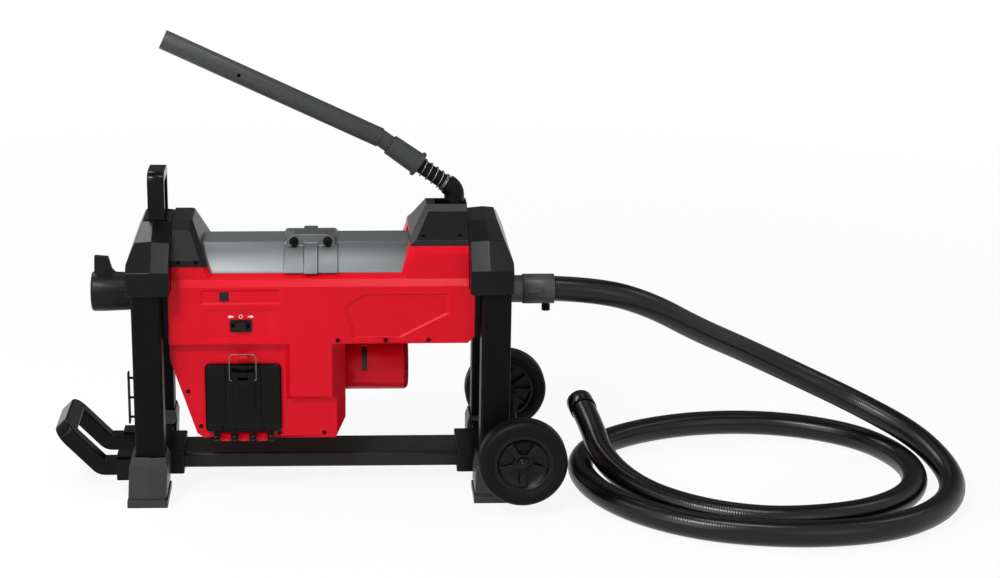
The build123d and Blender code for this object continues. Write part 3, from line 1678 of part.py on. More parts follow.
across = Vector(0, 1, 0)
upward = rod_dir.cross(across)
spring_lead = 6.0
tail = spring_wire
coil_start = spring_start + side_gap + tail + spring_lead
coil_length = spring_end - spring_start - 2 * (side_gap + tail + spring_lead)
open_pitch = (coil_length - close_pitch * (close_turns + 0.5)) / (spring_turns - close_turns - 0.5)


def coil_rise(turn):
    """Rise along the rod and pitch: close turns, one turn that opens, then open turns."""
    ramp = min(max(turn - close_turns, 0), 1)
    opened = max(turn - close_turns - 1, 0)
    rise = close_pitch * turn + (open_pitch - close_pitch) * (ramp * ramp / 2 + opened)
    return rise, close_pitch + (open_pitch - close_pitch) * ramp


def coil_point(turn):
    swing = 2 * math.pi * turn
    rise, pitch = coil_rise(turn)
    ray = across * cos(swing) + upward * sin(swing)
    round_dir = across * -sin(swing) + upward * cos(swing)
    place = elbow + rod_dir * (coil_start + rise) + ray * spring_r
    slope = round_dir * (2 * math.pi * spring_r) + rod_dir * pitch
    return place, slope.normalized()


def lead_point(turn, distance):
    swing = 2 * math.pi * turn
    ray = across * cos(swing) + upward * sin(swing)
    return elbow + rod_dir * distance + ray * spring_r


lead_turn = 0.16
lead_in = lead_point(-lead_turn, coil_start - spring_lead)
lead_out = lead_point(spring_turns + lead_turn, coil_start + coil_length + spring_lead)
quarters = [coil_point(k / 4) for k in range(4 * spring_turns + 1)]
with BuildPart() as lever_spring:
    with BuildLine() as spring_line:
        Line(lead_in - rod_dir * tail, lead_in)
        biarc(lead_in, rod_dir, *quarters[0])
        for start, end in zip(quarters, quarters[1:]):
            biarc(*start, *end)
        biarc(*quarters[-1], lead_out, rod_dir)
        Line(lead_out, lead_out + rod_dir * tail)
    with BuildSketch(Plane(lead_in - rod_dir * tail, x_dir=(0, 1, 0), z_dir=rod_dir)):
        Circle(spring_wire / 2)
    sweep()
save(lever_spring, "lever_spring")


def least_self_gap(points, apart, thickness):
    """Smallest free gap between stretches of a wire that are some points apart along it."""
    gaps = [(p - q).length for i, p in enumerate(points) for q in points[i + apart :]]
    return min(gaps) - thickness


spring_wire_line = spring_line.wires()[0]
spring_samples = [spring_wire_line.position_at(k / 600) for k in range(601)]
spring_gap = least_self_gap(spring_samples, 50, spring_wire)
print(f"lever_spring least gap to itself {spring_gap:.2f} mm")

# Sleeve over the rod, and the lever tube that grows out of it at a flatter slope
with BuildPart() as lever_sleeve:
    with BuildSketch(rod_plane(spring_end)):
        Circle(sleeve_flange_r)
    extrude(amount=5)
    with BuildSketch(rod_plane(spring_end + 5)):
        Circle(sleeve_r)
    extrude(amount=sleeve_end - spring_end - 5, taper=1.2)
    with BuildSketch(rod_plane(spring_end)):
        Circle(rod_r + seat_gap)
    extrude(amount=rod_end - spring_end + 0.5, mode=Mode.SUBTRACT)
    with BuildSketch(rod_plane(rod_end + 0.5)):
        Circle(neck_r + seat_gap)
    extrude(amount=sleeve_end - rod_end, mode=Mode.SUBTRACT)
save(lever_sleeve, "lever_sleeve")

tube_dir = Vector(-cos(rad(tube_angle)), 0, sin(rad(tube_angle)))
tube_start = elbow + rod_dir * lever_tube_s
tube_plane = Plane(tube_start, x_dir=(0, 1, 0), z_dir=tube_dir)
lever_hole = 265.0
with BuildPart() as lever_tube:
    with BuildSketch(tube_plane):
        Circle(lever_tube_r)
    extrude(amount=lever_tube_length)
    with BuildSketch(tube_plane.offset(lever_tube_r)):
        Circle(lever_tube_r - lever_tube_wall)
    extrude(amount=lever_tube_length, mode=Mode.SUBTRACT)
    with BuildSketch(rod_plane(rod_end + 0.7)):
        Circle(neck_r)
    extrude(amount=lever_tube_s - rod_end + 4)
    hole_at = tube_start + tube_dir * lever_hole
    with BuildSketch(Plane.XZ):
        with Locations((hole_at.X, hole_at.Z)):
            Circle(3)
    extrude(amount=2 * lever_tube_r, both=True, mode=Mode.SUBTRACT)
save(lever_tube, "lever_tube")

# Feed lever: an upright loop with an eye at the foot of each arm
with BuildPart() as feed_lever:
    with BuildSketch(Plane.YZ.offset(feed_x - feed_eye_r)):
        loop_height = feed_top - feed_z
        with Locations((0, feed_z + loop_height / 2)):
            RectangleRounded(2 * feed_half, loop_height, 18)
        with Locations((0, feed_z + loop_height / 4)):
            Rectangle(2 * feed_half, loop_height / 2)
        inner_half = feed_half - feed_bar
        gap_top = feed_top - 17
        gap_bottom = feed_z - 2 * feed_eye_r
        with Locations((0, (gap_top + gap_bottom) / 2)):
            RectangleRounded(2 * inner_half, gap_top - gap_bottom, 6, mode=Mode.SUBTRACT)
    extrude(amount=2 * feed_eye_r)
    for side in (-1, 1):
        with BuildSketch(Plane.XZ.offset(-side * inner_half)):
            with Locations((feed_x, feed_z)):
                Circle(feed_eye_r)
        extrude(amount=-side * feed_bar)
    with BuildSketch(Plane.XZ):
        with Locations((feed_x, feed_z)):
            Circle(feed_pin_r + run_gap)
    extrude(amount=2 * feed_half, both=True, mode=Mode.SUBTRACT)
save(feed_lever, "feed_lever")

# Nose collar: turns on the pilot of the front casting, with a grip fin on top
nose_x1 = front_arch_x0 - 0.8
with BuildPart() as nose_collar:
    with BuildSketch(Plane.XZ):
        Polygon(
            [
                (nose_x0, cable_z + cable_bore_r),
                (nose_x0, cable_z + nose_r - 3),
                (nose_x0 + 3, cable_z + nose_r),
                (nose_x0 + 24, cable_z + nose_r),
                (nose_x1, cable_z + nose_root_r),
                (nose_x1, cable_z + pilot_r + run_gap),
                (pilot_x - 1, cable_z + pilot_r + run_gap),
                (pilot_x - 1, cable_z + cable_bore_r),
            ]
        )
    revolve(axis=Axis((0, 0, cable_z), (1, 0, 0)))
    with BuildSketch(Plane.XZ):
        Polygon(
            [
                (nose_x0 + 5, cable_z + nose_r - 2),
                (nose_x0 + 6, fin_top),
                (nose_x0 + 30, fin_top - 2),
                (nose_x0 + 36, cable_z + nose_r + 6),
                (nose_x0 + 44, cable_z + nose_r - 3),
            ]
        )
    extrude(amount=fin_half, both=True)
save(nose_collar, "nose_collar")

# Rear spigot, hose coupling with its bayonet slot, and thumb screw
with BuildPart() as rear_spigot:
    ring(rear_bulkhead_x1, rear_bulkhead_x1 + 6, spigot_r + 8, cable_bore_r)
    ring(rear_bulkhead_x1 + 6, spigot_x1, spigot_r, cable_bore_r)
save(rear_spigot, "rear_spigot")

thumb_seat = cable_z - coupling_r
screw_reach = 5.0
with BuildPart() as hose_coupling:
    ring(coupling_x0, spigot_x1 + 3, coupling_r, spigot_r + seat_gap)
    ring(spigot_x1 + 3, coupling_x1, coupling_r, cable_bore_r)
    with BuildSketch(Plane.XZ.offset(coupling_r - 1.5)):
        with Locations((coupling_x0 + 27, cable_z + 8)):
            Rectangle(14, 3)
        with Locations((coupling_x0 + 34, cable_z + 4)):
            Rectangle(3, 11)
    extrude(amount=4, mode=Mode.SUBTRACT)
    with BuildSketch(Plane.XY.offset(thumb_seat - 2)):
        with Locations((thumb_x, 0)):
            Circle(3 + run_gap)
    extrude(amount=screw_reach + 3, mode=Mode.SUBTRACT)
save(hose_coupling, "hose_coupling")

with BuildPart() as thumb_screw:
    with BuildSketch(Plane.XY.offset(thumb_seat - 2)):
        with Locations((thumb_x, 0)):
            Circle(3)
    extrude(amount=screw_reach + 2)
    with BuildSketch(Plane.XY.offset(thumb_seat - 2)):
        with Locations((thumb_x, 0)):
            Circle(thumb_r)
            with PolarLocations(thumb_r, 8):
                Circle(1.2, mode=Mode.SUBTRACT)
    extrude(amount=-11)
save(thumb_screw, "thumb_screw")

# Guide hose: plain tube on straight runs and tangent arcs, from the coupling to its end cuff
floor_z = hose_r
hose_points = [
    Vector(*point)
    for point in (
        (coupling_x1, 0, cable_z),
        (coupling_x1 + 85.5, 0, cable_z),
        (609, 16, 320),
        (700, 58, 262),
        (797, 112, 207),
        (905, 138, 148),
        (1010, 114, 100),
        (1088, 42, 68),
        (1130, -56, 42),
        (1122, -162, 25),
        (1068, -256, floor_z),
        (980, -318, floor_z),
        (872, -342, floor_z),
        (757, -338, floor_z),
        (644, -306, floor_z),
        (550, -238, floor_z),
        (490, -140, floor_z),
        (474, -28, floor_z),
        (510, 76, floor_z),
        (592, 150, floor_z),
        (700, 193, floor_z),
        (815, 205, floor_z),
        (922, 181, floor_z),
        (1012, 119, floor_z),
        (1064, 32, floor_z),
        (1074, -68, floor_z),
        (1038, -162, floor_z),
        (964, -228, floor_z),
        (866, -258, floor_z),
        (760, -262, floor_z),
        (660, -220, floor_z),
        (584, -145, 29),
        (534, -62, 54),
        (510, 22, 79),
        (498, 106, 94),
    )
]


def bend_radius(before, corner, after):
    run_in = corner - before
    run_out = after - corner
    half_turn = rad(run_in.get_angle(run_out)) / 2
    return 0.45 * min(run_in.length, run_out.length) / tan(half_turn)


hose_bends = [bend_radius(*trio) for trio in zip(hose_points, hose_points[1:], hose_points[2:])]
print("guide_hose radii", " ".join(f"{r:.0f}" for r in hose_bends))
with BuildPart() as guide_hose:
    with BuildLine() as hose_line:
        FilletPolyline(*hose_points, radius=hose_bends)
    with BuildSketch(Plane(hose_points[0], x_dir=(0, 1, 0), z_dir=(1, 0, 0))):
        Circle(hose_r)
        Circle(hose_bore_r, mode=Mode.SUBTRACT)
    sweep()
save(guide_hose, "guide_hose")
hose_length = hose_line.wires()[0].length
hose_section = math.pi * (hose_r**2 - hose_bore_r**2)
hose_share = guide_hose.part.volume / (hose_section * hose_length)
print(f"guide_hose length {hose_length:.0f} mm, volume over section times length {hose_share:.4f}")

hose_end = hose_points[-1]
end_dir = (hose_points[-1] - hose_points[-2]).normalized()
with BuildPart() as hose_cuff:
    with BuildSketch(Plane(hose_end - end_dir * (cuff_length - 4), z_dir=end_dir)):
        Circle(cuff_r)
        Circle(hose_r + seat_gap, mode=Mode.SUBTRACT)
    extrude(amount=cuff_length - 4)
    with BuildSketch(Plane(hose_end, z_dir=end_dir)):
        Circle(cuff_r)
        Circle(hose_bore_r, mode=Mode.SUBTRACT)
    extrude(amount=4)
save(hose_cuff, "hose_cuff")
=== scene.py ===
import math

import bmesh
import bpy
from mathutils import Matrix, Vector


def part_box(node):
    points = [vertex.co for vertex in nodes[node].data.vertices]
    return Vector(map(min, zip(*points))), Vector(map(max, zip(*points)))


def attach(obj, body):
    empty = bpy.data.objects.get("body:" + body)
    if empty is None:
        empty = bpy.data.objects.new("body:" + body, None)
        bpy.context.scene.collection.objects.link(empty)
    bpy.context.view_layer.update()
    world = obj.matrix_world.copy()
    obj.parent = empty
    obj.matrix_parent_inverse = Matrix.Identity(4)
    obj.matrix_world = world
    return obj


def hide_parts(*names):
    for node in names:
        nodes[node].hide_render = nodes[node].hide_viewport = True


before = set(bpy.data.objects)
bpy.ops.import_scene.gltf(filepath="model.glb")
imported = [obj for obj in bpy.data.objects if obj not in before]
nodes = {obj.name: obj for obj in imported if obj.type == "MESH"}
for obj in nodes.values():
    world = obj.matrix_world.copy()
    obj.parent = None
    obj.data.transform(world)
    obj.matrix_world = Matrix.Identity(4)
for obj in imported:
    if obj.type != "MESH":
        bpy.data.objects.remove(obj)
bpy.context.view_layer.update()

# Legs and base beam: square steel tube, welded seam inside, sawn to length and
# powder coated black. The legs stand in the feet and carry the two arch castings.
mm = 0.001


def linear(code):
    """sRGB hex such as "#D2202C" as a linear colour."""
    channels = [int(code[k : k + 2], 16) / 255 for k in (1, 3, 5)]
    return [c / 12.92 if c <= 0.04045 else ((c + 0.055) / 1.055) ** 2.4 for c in channels] + [1.0]


def add(tree, kind, inputs, **settings):
    """Add a node with its settings; an input is a number, a colour or another node's output."""
    node = tree.nodes.new(kind)
    for name, value in settings.items():
        setattr(node, name, value)
    sockets = {socket.identifier: socket for socket in node.inputs}
    for name, value in inputs.items():
        if isinstance(value, bpy.types.NodeSocket):
            tree.links.new(value, sockets[name])
        else:
            sockets[name].default_value = value
    return node


def start_material(name):
    material = bpy.data.materials.new(name)
    material.use_nodes = True
    material.node_tree.nodes.clear()
    return material, material.node_tree


def grained(name, colour, shade, *, grain_mm, relief_mm, matt, glossy, specular, metallic=0.0):
    """Moulded, cast or coated surface: faint clouds in its tone and a fine grain.

    The real grain is a few tenths of a millimetre, so grain_mm is coarser, as it needs to be to show.
    """
    cloud_mm = 70
    grain_low = 0.3
    grain_high = 0.7
    material, tree = start_material(name)
    place = add(tree, "ShaderNodeTexCoord", {}).outputs["Object"]
    cloud = add(tree, "ShaderNodeTexNoise", {"Vector": place, "Scale": 1 / (cloud_mm * mm), "Detail": 3.0})
    grain = add(tree, "ShaderNodeTexNoise", {"Vector": place, "Scale": 1 / (grain_mm * mm), "Detail": 4.0})
    tone = add(
        tree,
        "ShaderNodeMix",
        {"Factor_Float": cloud.outputs[0], "A_Color": linear(colour), "B_Color": linear(shade)},
        data_type="RGBA",
    )
    gloss = add(
        tree,
        "ShaderNodeMapRange",
        {
            "Value": grain.outputs[0],
            "From Min": grain_low,
            "From Max": grain_high,
            "To Min": glossy,
            "To Max": matt,
        },
    )
    relief = add(tree, "ShaderNodeBump", {"Height": grain.outputs[0], "Distance": relief_mm * mm})
    shader = add(
        tree,
        "ShaderNodeBsdfPrincipled",
        {
            "Base Color": tone.outputs[2],
            "Metallic": metallic,
            "Roughness": gloss.outputs[0],
            "Specular IOR Level": specular,
            "Normal": relief.outputs[0],
        },
    )
    add(tree, "ShaderNodeOutputMaterial", {"Surface": shader.outputs[0]})
    return material


def dress(material, *names):
    for name in names:
        mesh = nodes[name].data
        mesh.materials.clear()
        mesh.materials.append(material)


def soften(width_mm, *names, crease=5, curved=False):
    """Round a piece's sharp edges, as moulding, casting or tumbling leaves them."""
    weld_mm = 0.005
    flat_within = math.radians(0.5)
    for name in names:
        piece = bpy.data.objects[name]
        weld = piece.modifiers.new("weld", "WELD")
        weld.merge_threshold = weld_mm * mm
        flat = piece.modifiers.new("flat", "DECIMATE")
        flat.decimate_type = "DISSOLVE"
        flat.angle_limit = flat_within
        edge = piece.modifiers.new("edge", "BEVEL")
        edge.width = width_mm * mm
        edge.segments = 2
        edge.limit_method = "ANGLE"
        edge.angle_limit = math.radians(crease)
        edge.use_clamp_overlap = False
        edge.harden_normals = not curved
        if curved:
            piece.modifiers.new("shading", "WEIGHTED_NORMAL")


# Semi-matt powder coat: a slight orange peel breaks up the highlight along the tubes.
powder_coat = grained(
    "black powder coat",
    "#0A0A0B",
    "#0F0F10",
    grain_mm=2.2,
    relief_mm=0.03,
    matt=0.5,
    glossy=0.36,
    specular=0.06,
)
legs = ("front_left_leg", "front_right_leg", "rear_left_leg", "rear_right_leg")
dress(powder_coat, *legs)
soften(0.6, *legs, crease=30)
# The beam's coat is painted a shade greyer than the legs' coat: painted light, standing in for the light
# its front face catches.
lit_beam_coat = grained(
    "lightened black powder coat",
    "#1A1A1A",
    "#202020",
    grain_mm=2.2,
    relief_mm=0.03,
    matt=0.46,
    glossy=0.34,
    specular=0.18,
)
dress(lit_beam_coat, "base_beam")
soften(0.6, "base_beam", crease=30)

# Feet, lift handle and hook strip: moulded in glass filled nylon. The feet are pushed over
# the tubes, with flat creased faces and a grooved sole; the handle is a bent square bar.
# Undyed but for carbon black, the feet's nylon is a flat dark grey.
charcoal_nylon = grained(
    "charcoal glass filled nylon",
    "#343435",
    "#3B3B3C",
    grain_mm=0.9,
    relief_mm=0.04,
    matt=0.44,
    glossy=0.32,
    specular=0.16,
)
dress(charcoal_nylon, "front_feet", "rear_feet")
soften(1.2, "front_feet", "rear_feet")
# A textured mould leaves an even satin black.
black_nylon = grained(
    "black glass filled nylon",
    "#0F0F10",
    "#141415",
    grain_mm=0.9,
    relief_mm=0.04,
    matt=0.42,
    glossy=0.3,
    specular=0.16,
)
dress(black_nylon, "hook_strip")
soften(0.4, "hook_strip", crease=30)
# Polished moulds leave this nylon shiny, so it is black with small sharp highlights.
glossy_nylon = grained(
    "glossy black nylon",
    "#080808",
    "#0B0B0B",
    grain_mm=1.0,
    relief_mm=0.01,
    matt=0.22,
    glossy=0.14,
    specular=0.12,
)
dress(glossy_nylon, "lift_handle")
soften(1.2, "lift_handle", crease=25)

# Arch castings, cross brackets and axle brackets: die cast aluminium with a black coat.
# Their broad facets are cast in, and the coat's low gloss gives each facet its own tone.
coated_casting = grained(
    "black coated aluminium casting",
    "#0B0C0D",
    "#101112",
    grain_mm=1.2,
    relief_mm=0.03,
    matt=0.3,
    glossy=0.22,
    specular=0.13,
)
arches = ("front_shoulder", "rear_shoulder")
brackets = ("front_cross_bracket", "rear_cross_bracket", "axle_brackets")
dress(coated_casting, *arches, *brackets)
soften(1.4, *arches)
soften(1.0, *brackets)

# Axle and its spacers: turned steel bar through both brackets.
# Hot blacking leaves the bar and the spacers a dull black.
blacked_steel = grained(
    "blacked steel",
    "#050505",
    "#090909",
    grain_mm=0.8,
    relief_mm=0.02,
    matt=0.4,
    glossy=0.28,
    specular=0.1,
)
dress(blacked_steel, "axle", "axle_hardware")
soften(0.5, "axle_hardware", crease=30)

# Wheels: hubs moulded with five spokes in a dished ring, and a solid rubber tyre
# moulded round the rim. They turn freely on the axle.
# A satin mould: the lower half of the dish catches a soft light, the upper half stays black.
satin_nylon = grained(
    "satin black nylon",
    "#040404",
    "#070707",
    grain_mm=0.9,
    relief_mm=0.03,
    matt=0.42,
    glossy=0.32,
    specular=0.2,
)
dress(satin_nylon, "left_wheel_hub", "right_wheel_hub")
soften(0.7, "left_wheel_hub", "right_wheel_hub", crease=30)
# Carbon filled rubber: dull black, with a faint sheen along the shoulders.
tyre_rubber = grained(
    "black tyre rubber",
    "#060606",
    "#0A0A09",
    grain_mm=1.6,
    relief_mm=0.06,
    matt=0.55,
    glossy=0.4,
    specular=0.12,
)


def spin_round(mesh_data, line, middle, steps):
    """Spin a line of vertices and edges a full turn about the axle's direction."""
    bmesh.ops.spin(
        mesh_data,
        geom=line,
        cent=middle,
        axis=(0, 1, 0),
        angle=2 * math.pi,
        steps=steps,
        use_merge=True,
    )


def seal(mesh_data, merge_mm):
    """Merge a mesh's doubles and turn its faces outwards."""
    bmesh.ops.remove_doubles(mesh_data, verts=mesh_data.verts[:], dist=merge_mm * mm)
    bmesh.ops.recalc_face_normals(mesh_data, faces=mesh_data.faces[:])


def shade_round(mesh_data, crease=None):
    """Shade a mesh as round, apart from edges sharper than the crease in degrees."""
    for face in mesh_data.faces:
        face.smooth = True
    if crease is not None:
        for edge in mesh_data.edges:
            edge.smooth = edge.calc_face_angle() < math.radians(crease)


def keep(mesh_data, name, material, body="frame"):
    """Turn a finished bmesh into a piece of the object that rides on one body."""
    mesh = bpy.data.meshes.new(name)
    mesh_data.to_mesh(mesh)
    mesh_data.free()
    mesh.materials.append(material)
    piece = bpy.data.objects.new(name, mesh)
    bpy.context.scene.collection.objects.link(piece)
    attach(piece, body)
    return piece


# Three grooves run round the tread, and the sides sink a little towards the rim.
# Each point of the side is a radius and a distance from the tyre's middle.
tyre_r = 76.0
groove_half = 1.2
groove_floor_half = 0.7
groove_depth = 1.6
groove_places = (8.3, 0.0, -8.3)
tyre_steps = 80
tyre_side = (
    (52.0, 15.5),
    (55.5, 17.8),
    (60.5, 19.4),
    (66.0, 20.0),
    (70.0, 19.2),
    (73.0, 17.2),
    (75.0, 14.4),
    (76.0, 11.2),
)
tread = []
for groove in groove_places:
    tread += [
        (tyre_r, groove + groove_half),
        (tyre_r - groove_depth, groove + groove_floor_half),
        (tyre_r - groove_depth, groove - groove_floor_half),
        (tyre_r, groove - groove_half),
    ]
tyre_outline = [*tyre_side, *tread, *[(r, -y) for r, y in reversed(tyre_side)]]
for hand in ("left", "right"):
    tyre_low, tyre_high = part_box(f"{hand}_tyre")
    tyre_middle = (Vector(tyre_low) + Vector(tyre_high)) / 2
    tyre = bmesh.new()
    corners = [tyre.verts.new(tyre_middle + Vector((r, y, 0)) * mm) for r, y in tyre_outline]
    sides = [tyre.edges.new(pair) for pair in zip(corners, corners[1:] + corners[:1])]
    spin_round(tyre, corners + sides, tyre_middle, tyre_steps)
    seal(tyre, merge_mm=0.01)
    shade_round(tyre, crease=30)
    grooved_tyre = keep(tyre, f"{hand}_grooved_tyre", tyre_rubber, f"{hand}_wheel")
    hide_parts(f"{hand}_tyre")

# Axle caps: cups with three steps, pressed from sheet steel and pushed onto the
# axle's ends to hold the wheels.
# Black oxide over a polished face: black, with thin arcs of light on the sloped steps.
oxide_steel = grained(
    "polished black oxide steel",
    "#030303",
    "#050505",
    grain_mm=0.6,
    relief_mm=0.01,
    matt=0.2,
    glossy=0.14,
    specular=0.22,
)
# Each point is a radius and a height over the axle's end.
cap_outline = (
    (0.0, 0.0),
    (12.0, 0.0),
    (12.0, 0.8),
    (10.2, 2.6),
    (8.2, 2.6),
    (8.2, 3.4),
    (6.4, 5.2),
    (4.4, 5.2),
    (4.4, 6.0),
    (3.0, 7.4),
    (0.0, 7.4),
)
cap_steps = 40
axle_low, axle_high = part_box("axle_hardware")
axle_x = (axle_low[0] + axle_high[0]) / 2
axle_z = (axle_low[2] + axle_high[2]) / 2
caps = bmesh.new()
for way, end_y in ((-1, axle_low[1]), (1, axle_high[1])):
    axle_end = Vector((axle_x, end_y, axle_z))
    corners = [caps.verts.new(axle_end + Vector((r, way * out, 0)) * mm) for r, out in cap_outline]
    sides = [caps.edges.new(pair) for pair in zip(corners, corners[1:])]
    spin_round(caps, corners + sides, axle_end, cap_steps)
seal(caps, merge_mm=0.01)
shade_round(caps, crease=25)
keep(caps, "stepped_axle_caps", oxide_steel)

# Drive housing and its saddle: an aluminium extrusion and a casting bolted over it.
# Die lines run along the extrusion, under a satin anodised finish that spreads the light.
line_mm = 1.6
line_length_mm = 260
satin_aluminium, tree = start_material("satin anodised aluminium")
place = add(tree, "ShaderNodeTexCoord", {}).outputs["Object"]
drawn = add(
    tree,
    "ShaderNodeMapping",
    {"Vector": place, "Scale": (1 / (line_length_mm * mm), 1 / (line_mm * mm), 1 / (line_mm * mm))},
)
lines = add(tree, "ShaderNodeTexNoise", {"Vector": drawn.outputs[0], "Scale": 1.0, "Detail": 4.0})
tone = add(
    tree,
    "ShaderNodeMix",
    {"Factor_Float": lines.outputs[0], "A_Color": linear("#636767"), "B_Color": linear("#757979")},
    data_type="RGBA",
)
gloss = add(tree, "ShaderNodeMapRange", {"Value": lines.outputs[0], "To Min": 0.42, "To Max": 0.58})
relief = add(tree, "ShaderNodeBump", {"Height": lines.outputs[0], "Distance": 0.02 * mm})
shader = add(
    tree,
    "ShaderNodeBsdfPrincipled",
    {
        "Base Color": tone.outputs[2],
        "Metallic": 0.85,
        "Roughness": gloss.outputs[0],
        "Normal": relief.outputs[0],
    },
)
add(tree, "ShaderNodeOutputMaterial", {"Surface": shader.outputs[0]})
dress(satin_aluminium, "drive_housing")
soften(0.6, "drive_housing", crease=30)
# Blasted casting: an even grey, a little duller than the extrusion under it.
blasted_casting = grained(
    "blasted aluminium casting",
    "#5C5F60",
    "#686B6B",
    grain_mm=1.0,
    relief_mm=0.06,
    matt=0.48,
    glossy=0.36,
    specular=0.4,
    metallic=0.8,
)
# Each end of the saddle's crown slopes away outside its bolt, in a steep flat and a low one.
# A flat goes through a point out from the middle and up, and faces outwards and upwards.
saddle_x = 6.0
steep_flat = {"out": 46.5, "up": 441.0, "facing_out": 1.0, "facing_up": 0.45}
low_flat = {"out": 43.0, "up": 448.5, "facing_out": 0.8, "facing_up": 1.0}
saddle = bmesh.new()
saddle.from_mesh(nodes["clamp_saddle"].data)
bmesh.ops.remove_doubles(saddle, verts=saddle.verts[:], dist=0.005 * mm)
for way in (-1, 1):
    for flat in (steep_flat, low_flat):
        cut = bmesh.ops.bisect_plane(
            saddle,
            geom=saddle.verts[:] + saddle.edges[:] + saddle.faces[:],
            plane_co=((saddle_x + way * flat["out"]) * mm, 0, flat["up"] * mm),
            plane_no=(way * flat["facing_out"], 0, flat["facing_up"]),
            clear_outer=True,
        )
        rim = [item for item in cut["geom_cut"] if isinstance(item, bmesh.types.BMEdge)]
        bmesh.ops.holes_fill(saddle, edges=rim)
shade_round(saddle)
trimmed_saddle = keep(saddle, "trimmed_saddle", blasted_casting)
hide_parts("clamp_saddle")
soften(1.4, "trimmed_saddle", crease=30, curved=True)
dress(blacked_steel, "saddle_bolts")
soften(0.3, "saddle_bolts", crease=30)

# Running gear inside the housing: ground steel spindle in two bearings, with the
# pulley, the cone clutch that the lever slides, and three jaws that grip the cable.
# Turning and grinding leave bright steel with a fine haze in its mirror.
turned_mm = 0.5
bright_steel, tree = start_material("turned bright steel")
place = add(tree, "ShaderNodeTexCoord", {}).outputs["Object"]
turning = add(tree, "ShaderNodeTexNoise", {"Vector": place, "Scale": 1 / (turned_mm * mm), "Detail": 2.0})
gloss = add(tree, "ShaderNodeMapRange", {"Value": turning.outputs[0], "To Min": 0.22, "To Max": 0.38})
relief = add(tree, "ShaderNodeBump", {"Height": turning.outputs[0], "Distance": 0.01 * mm})
shader = add(
    tree,
    "ShaderNodeBsdfPrincipled",
    {
        "Base Color": linear("#B9BBBD"),
        "Metallic": 1.0,
        "Roughness": gloss.outputs[0],
        "Normal": relief.outputs[0],
    },
)
add(tree, "ShaderNodeOutputMaterial", {"Surface": shader.outputs[0]})
dress(bright_steel, "spindle", "bearings", "clutch_collar", "jaw_1", "jaw_2", "jaw_3")
dress(satin_aluminium, "spindle_pulley")
# Cord reinforced rubber: dull black with hardly any highlight.
belt_rubber = grained(
    "reinforced belt rubber",
    "#161616",
    "#202020",
    grain_mm=0.8,
    relief_mm=0.05,
    matt=0.8,
    glossy=0.65,
    specular=0.3,
)
dress(belt_rubber, "drive_belt")

# Motor and control board: an iron stator stacked from thin sheets with its rotor, and
# the board on its heat sink beside the battery. The stack shows as fine brown lines.
lamination_mm = 0.5
wave_length = math.pi / 10
shaded_motor_iron, tree = start_material("laminated motor iron in painted shade")
place = add(tree, "ShaderNodeTexCoord", {}).outputs["Object"]
sheets = add(
    tree,
    "ShaderNodeTexWave",
    {"Vector": place, "Scale": wave_length / (2 * lamination_mm * mm)},
    bands_direction="X",
)
# The iron's browns are painted darker than bare iron: painted shade, so that the stator reads dark where
# it shows through its slot.
tone = add(
    tree,
    "ShaderNodeMix",
    {"Factor_Float": sheets.outputs[1], "A_Color": linear("#2B2725"), "B_Color": linear("#3A3533")},
    data_type="RGBA",
)
shader = add(
    tree,
    "ShaderNodeBsdfPrincipled",
    {"Base Color": tone.outputs[2], "Metallic": 0.8, "Roughness": 0.5},
)
add(tree, "ShaderNodeOutputMaterial", {"Surface": shader.outputs[0]})
dress(shaded_motor_iron, "motor_stator", "motor_rotor")
# Glass laminate under a clear green varnish.
board_green = grained(
    "varnished circuit board",
    "#1E5B33",
    "#2A6B3C",
    grain_mm=3.0,
    relief_mm=0.02,
    matt=0.35,
    glossy=0.25,
    specular=0.5,
)
dress(board_green, "control_board")

# Red body: two halves moulded in dyed glass filled nylon, screwed together round the
# drive housing, with black covers at both ends of the trunk.
# A spark eroded mould gives the red a fine even texture and soft highlights.
red_nylon = grained(
    "red glass filled nylon",
    "#D10820",
    "#C9071C",
    grain_mm=0.8,
    relief_mm=0.05,
    matt=0.4,
    glossy=0.28,
    specular=0.13,
)
dress(red_nylon, "left_body", "right_body", "motor_cover")
soften(0.9, "left_body", "right_body", "motor_cover")
dress(black_nylon, "front_cover", "rear_cover")
soften(0.6, "front_cover", "rear_cover")
# Phosphated recessed heads, so dull that they read as dark dots.
screw_black = grained(
    "phosphated screw steel",
    "#040404",
    "#070707",
    grain_mm=0.6,
    relief_mm=0.02,
    matt=0.7,
    glossy=0.55,
    specular=0.06,
)
dress(screw_black, "case_screws")

# Indicator window, switch and its printed marks: a smoked clear window, a sliding knob
# in a bezel, and white pad printing for forward, off and reverse.
# Smoked acrylic reads as a nearly black mirror with a slight haze.
haze_mm = 4
window_smoke, tree = start_material("smoked acrylic")
place = add(tree, "ShaderNodeTexCoord", {}).outputs["Object"]
haze = add(tree, "ShaderNodeTexNoise", {"Vector": place, "Scale": 1 / (haze_mm * mm)})
gloss = add(tree, "ShaderNodeMapRange", {"Value": haze.outputs[0], "To Min": 0.08, "To Max": 0.16})
shader = add(
    tree,
    "ShaderNodeBsdfPrincipled",
    {
        "Base Color": linear("#120F10"),
        "Roughness": gloss.outputs[0],
        "IOR": 1.49,
        "Specular IOR Level": 0.3,
    },
)
add(tree, "ShaderNodeOutputMaterial", {"Surface": shader.outputs[0]})
dress(window_smoke, "indicator_window")
soften(0.4, "indicator_window")
dress(black_nylon, "switch_bezel", "direction_switch")
soften(0.5, "switch_bezel", "direction_switch")
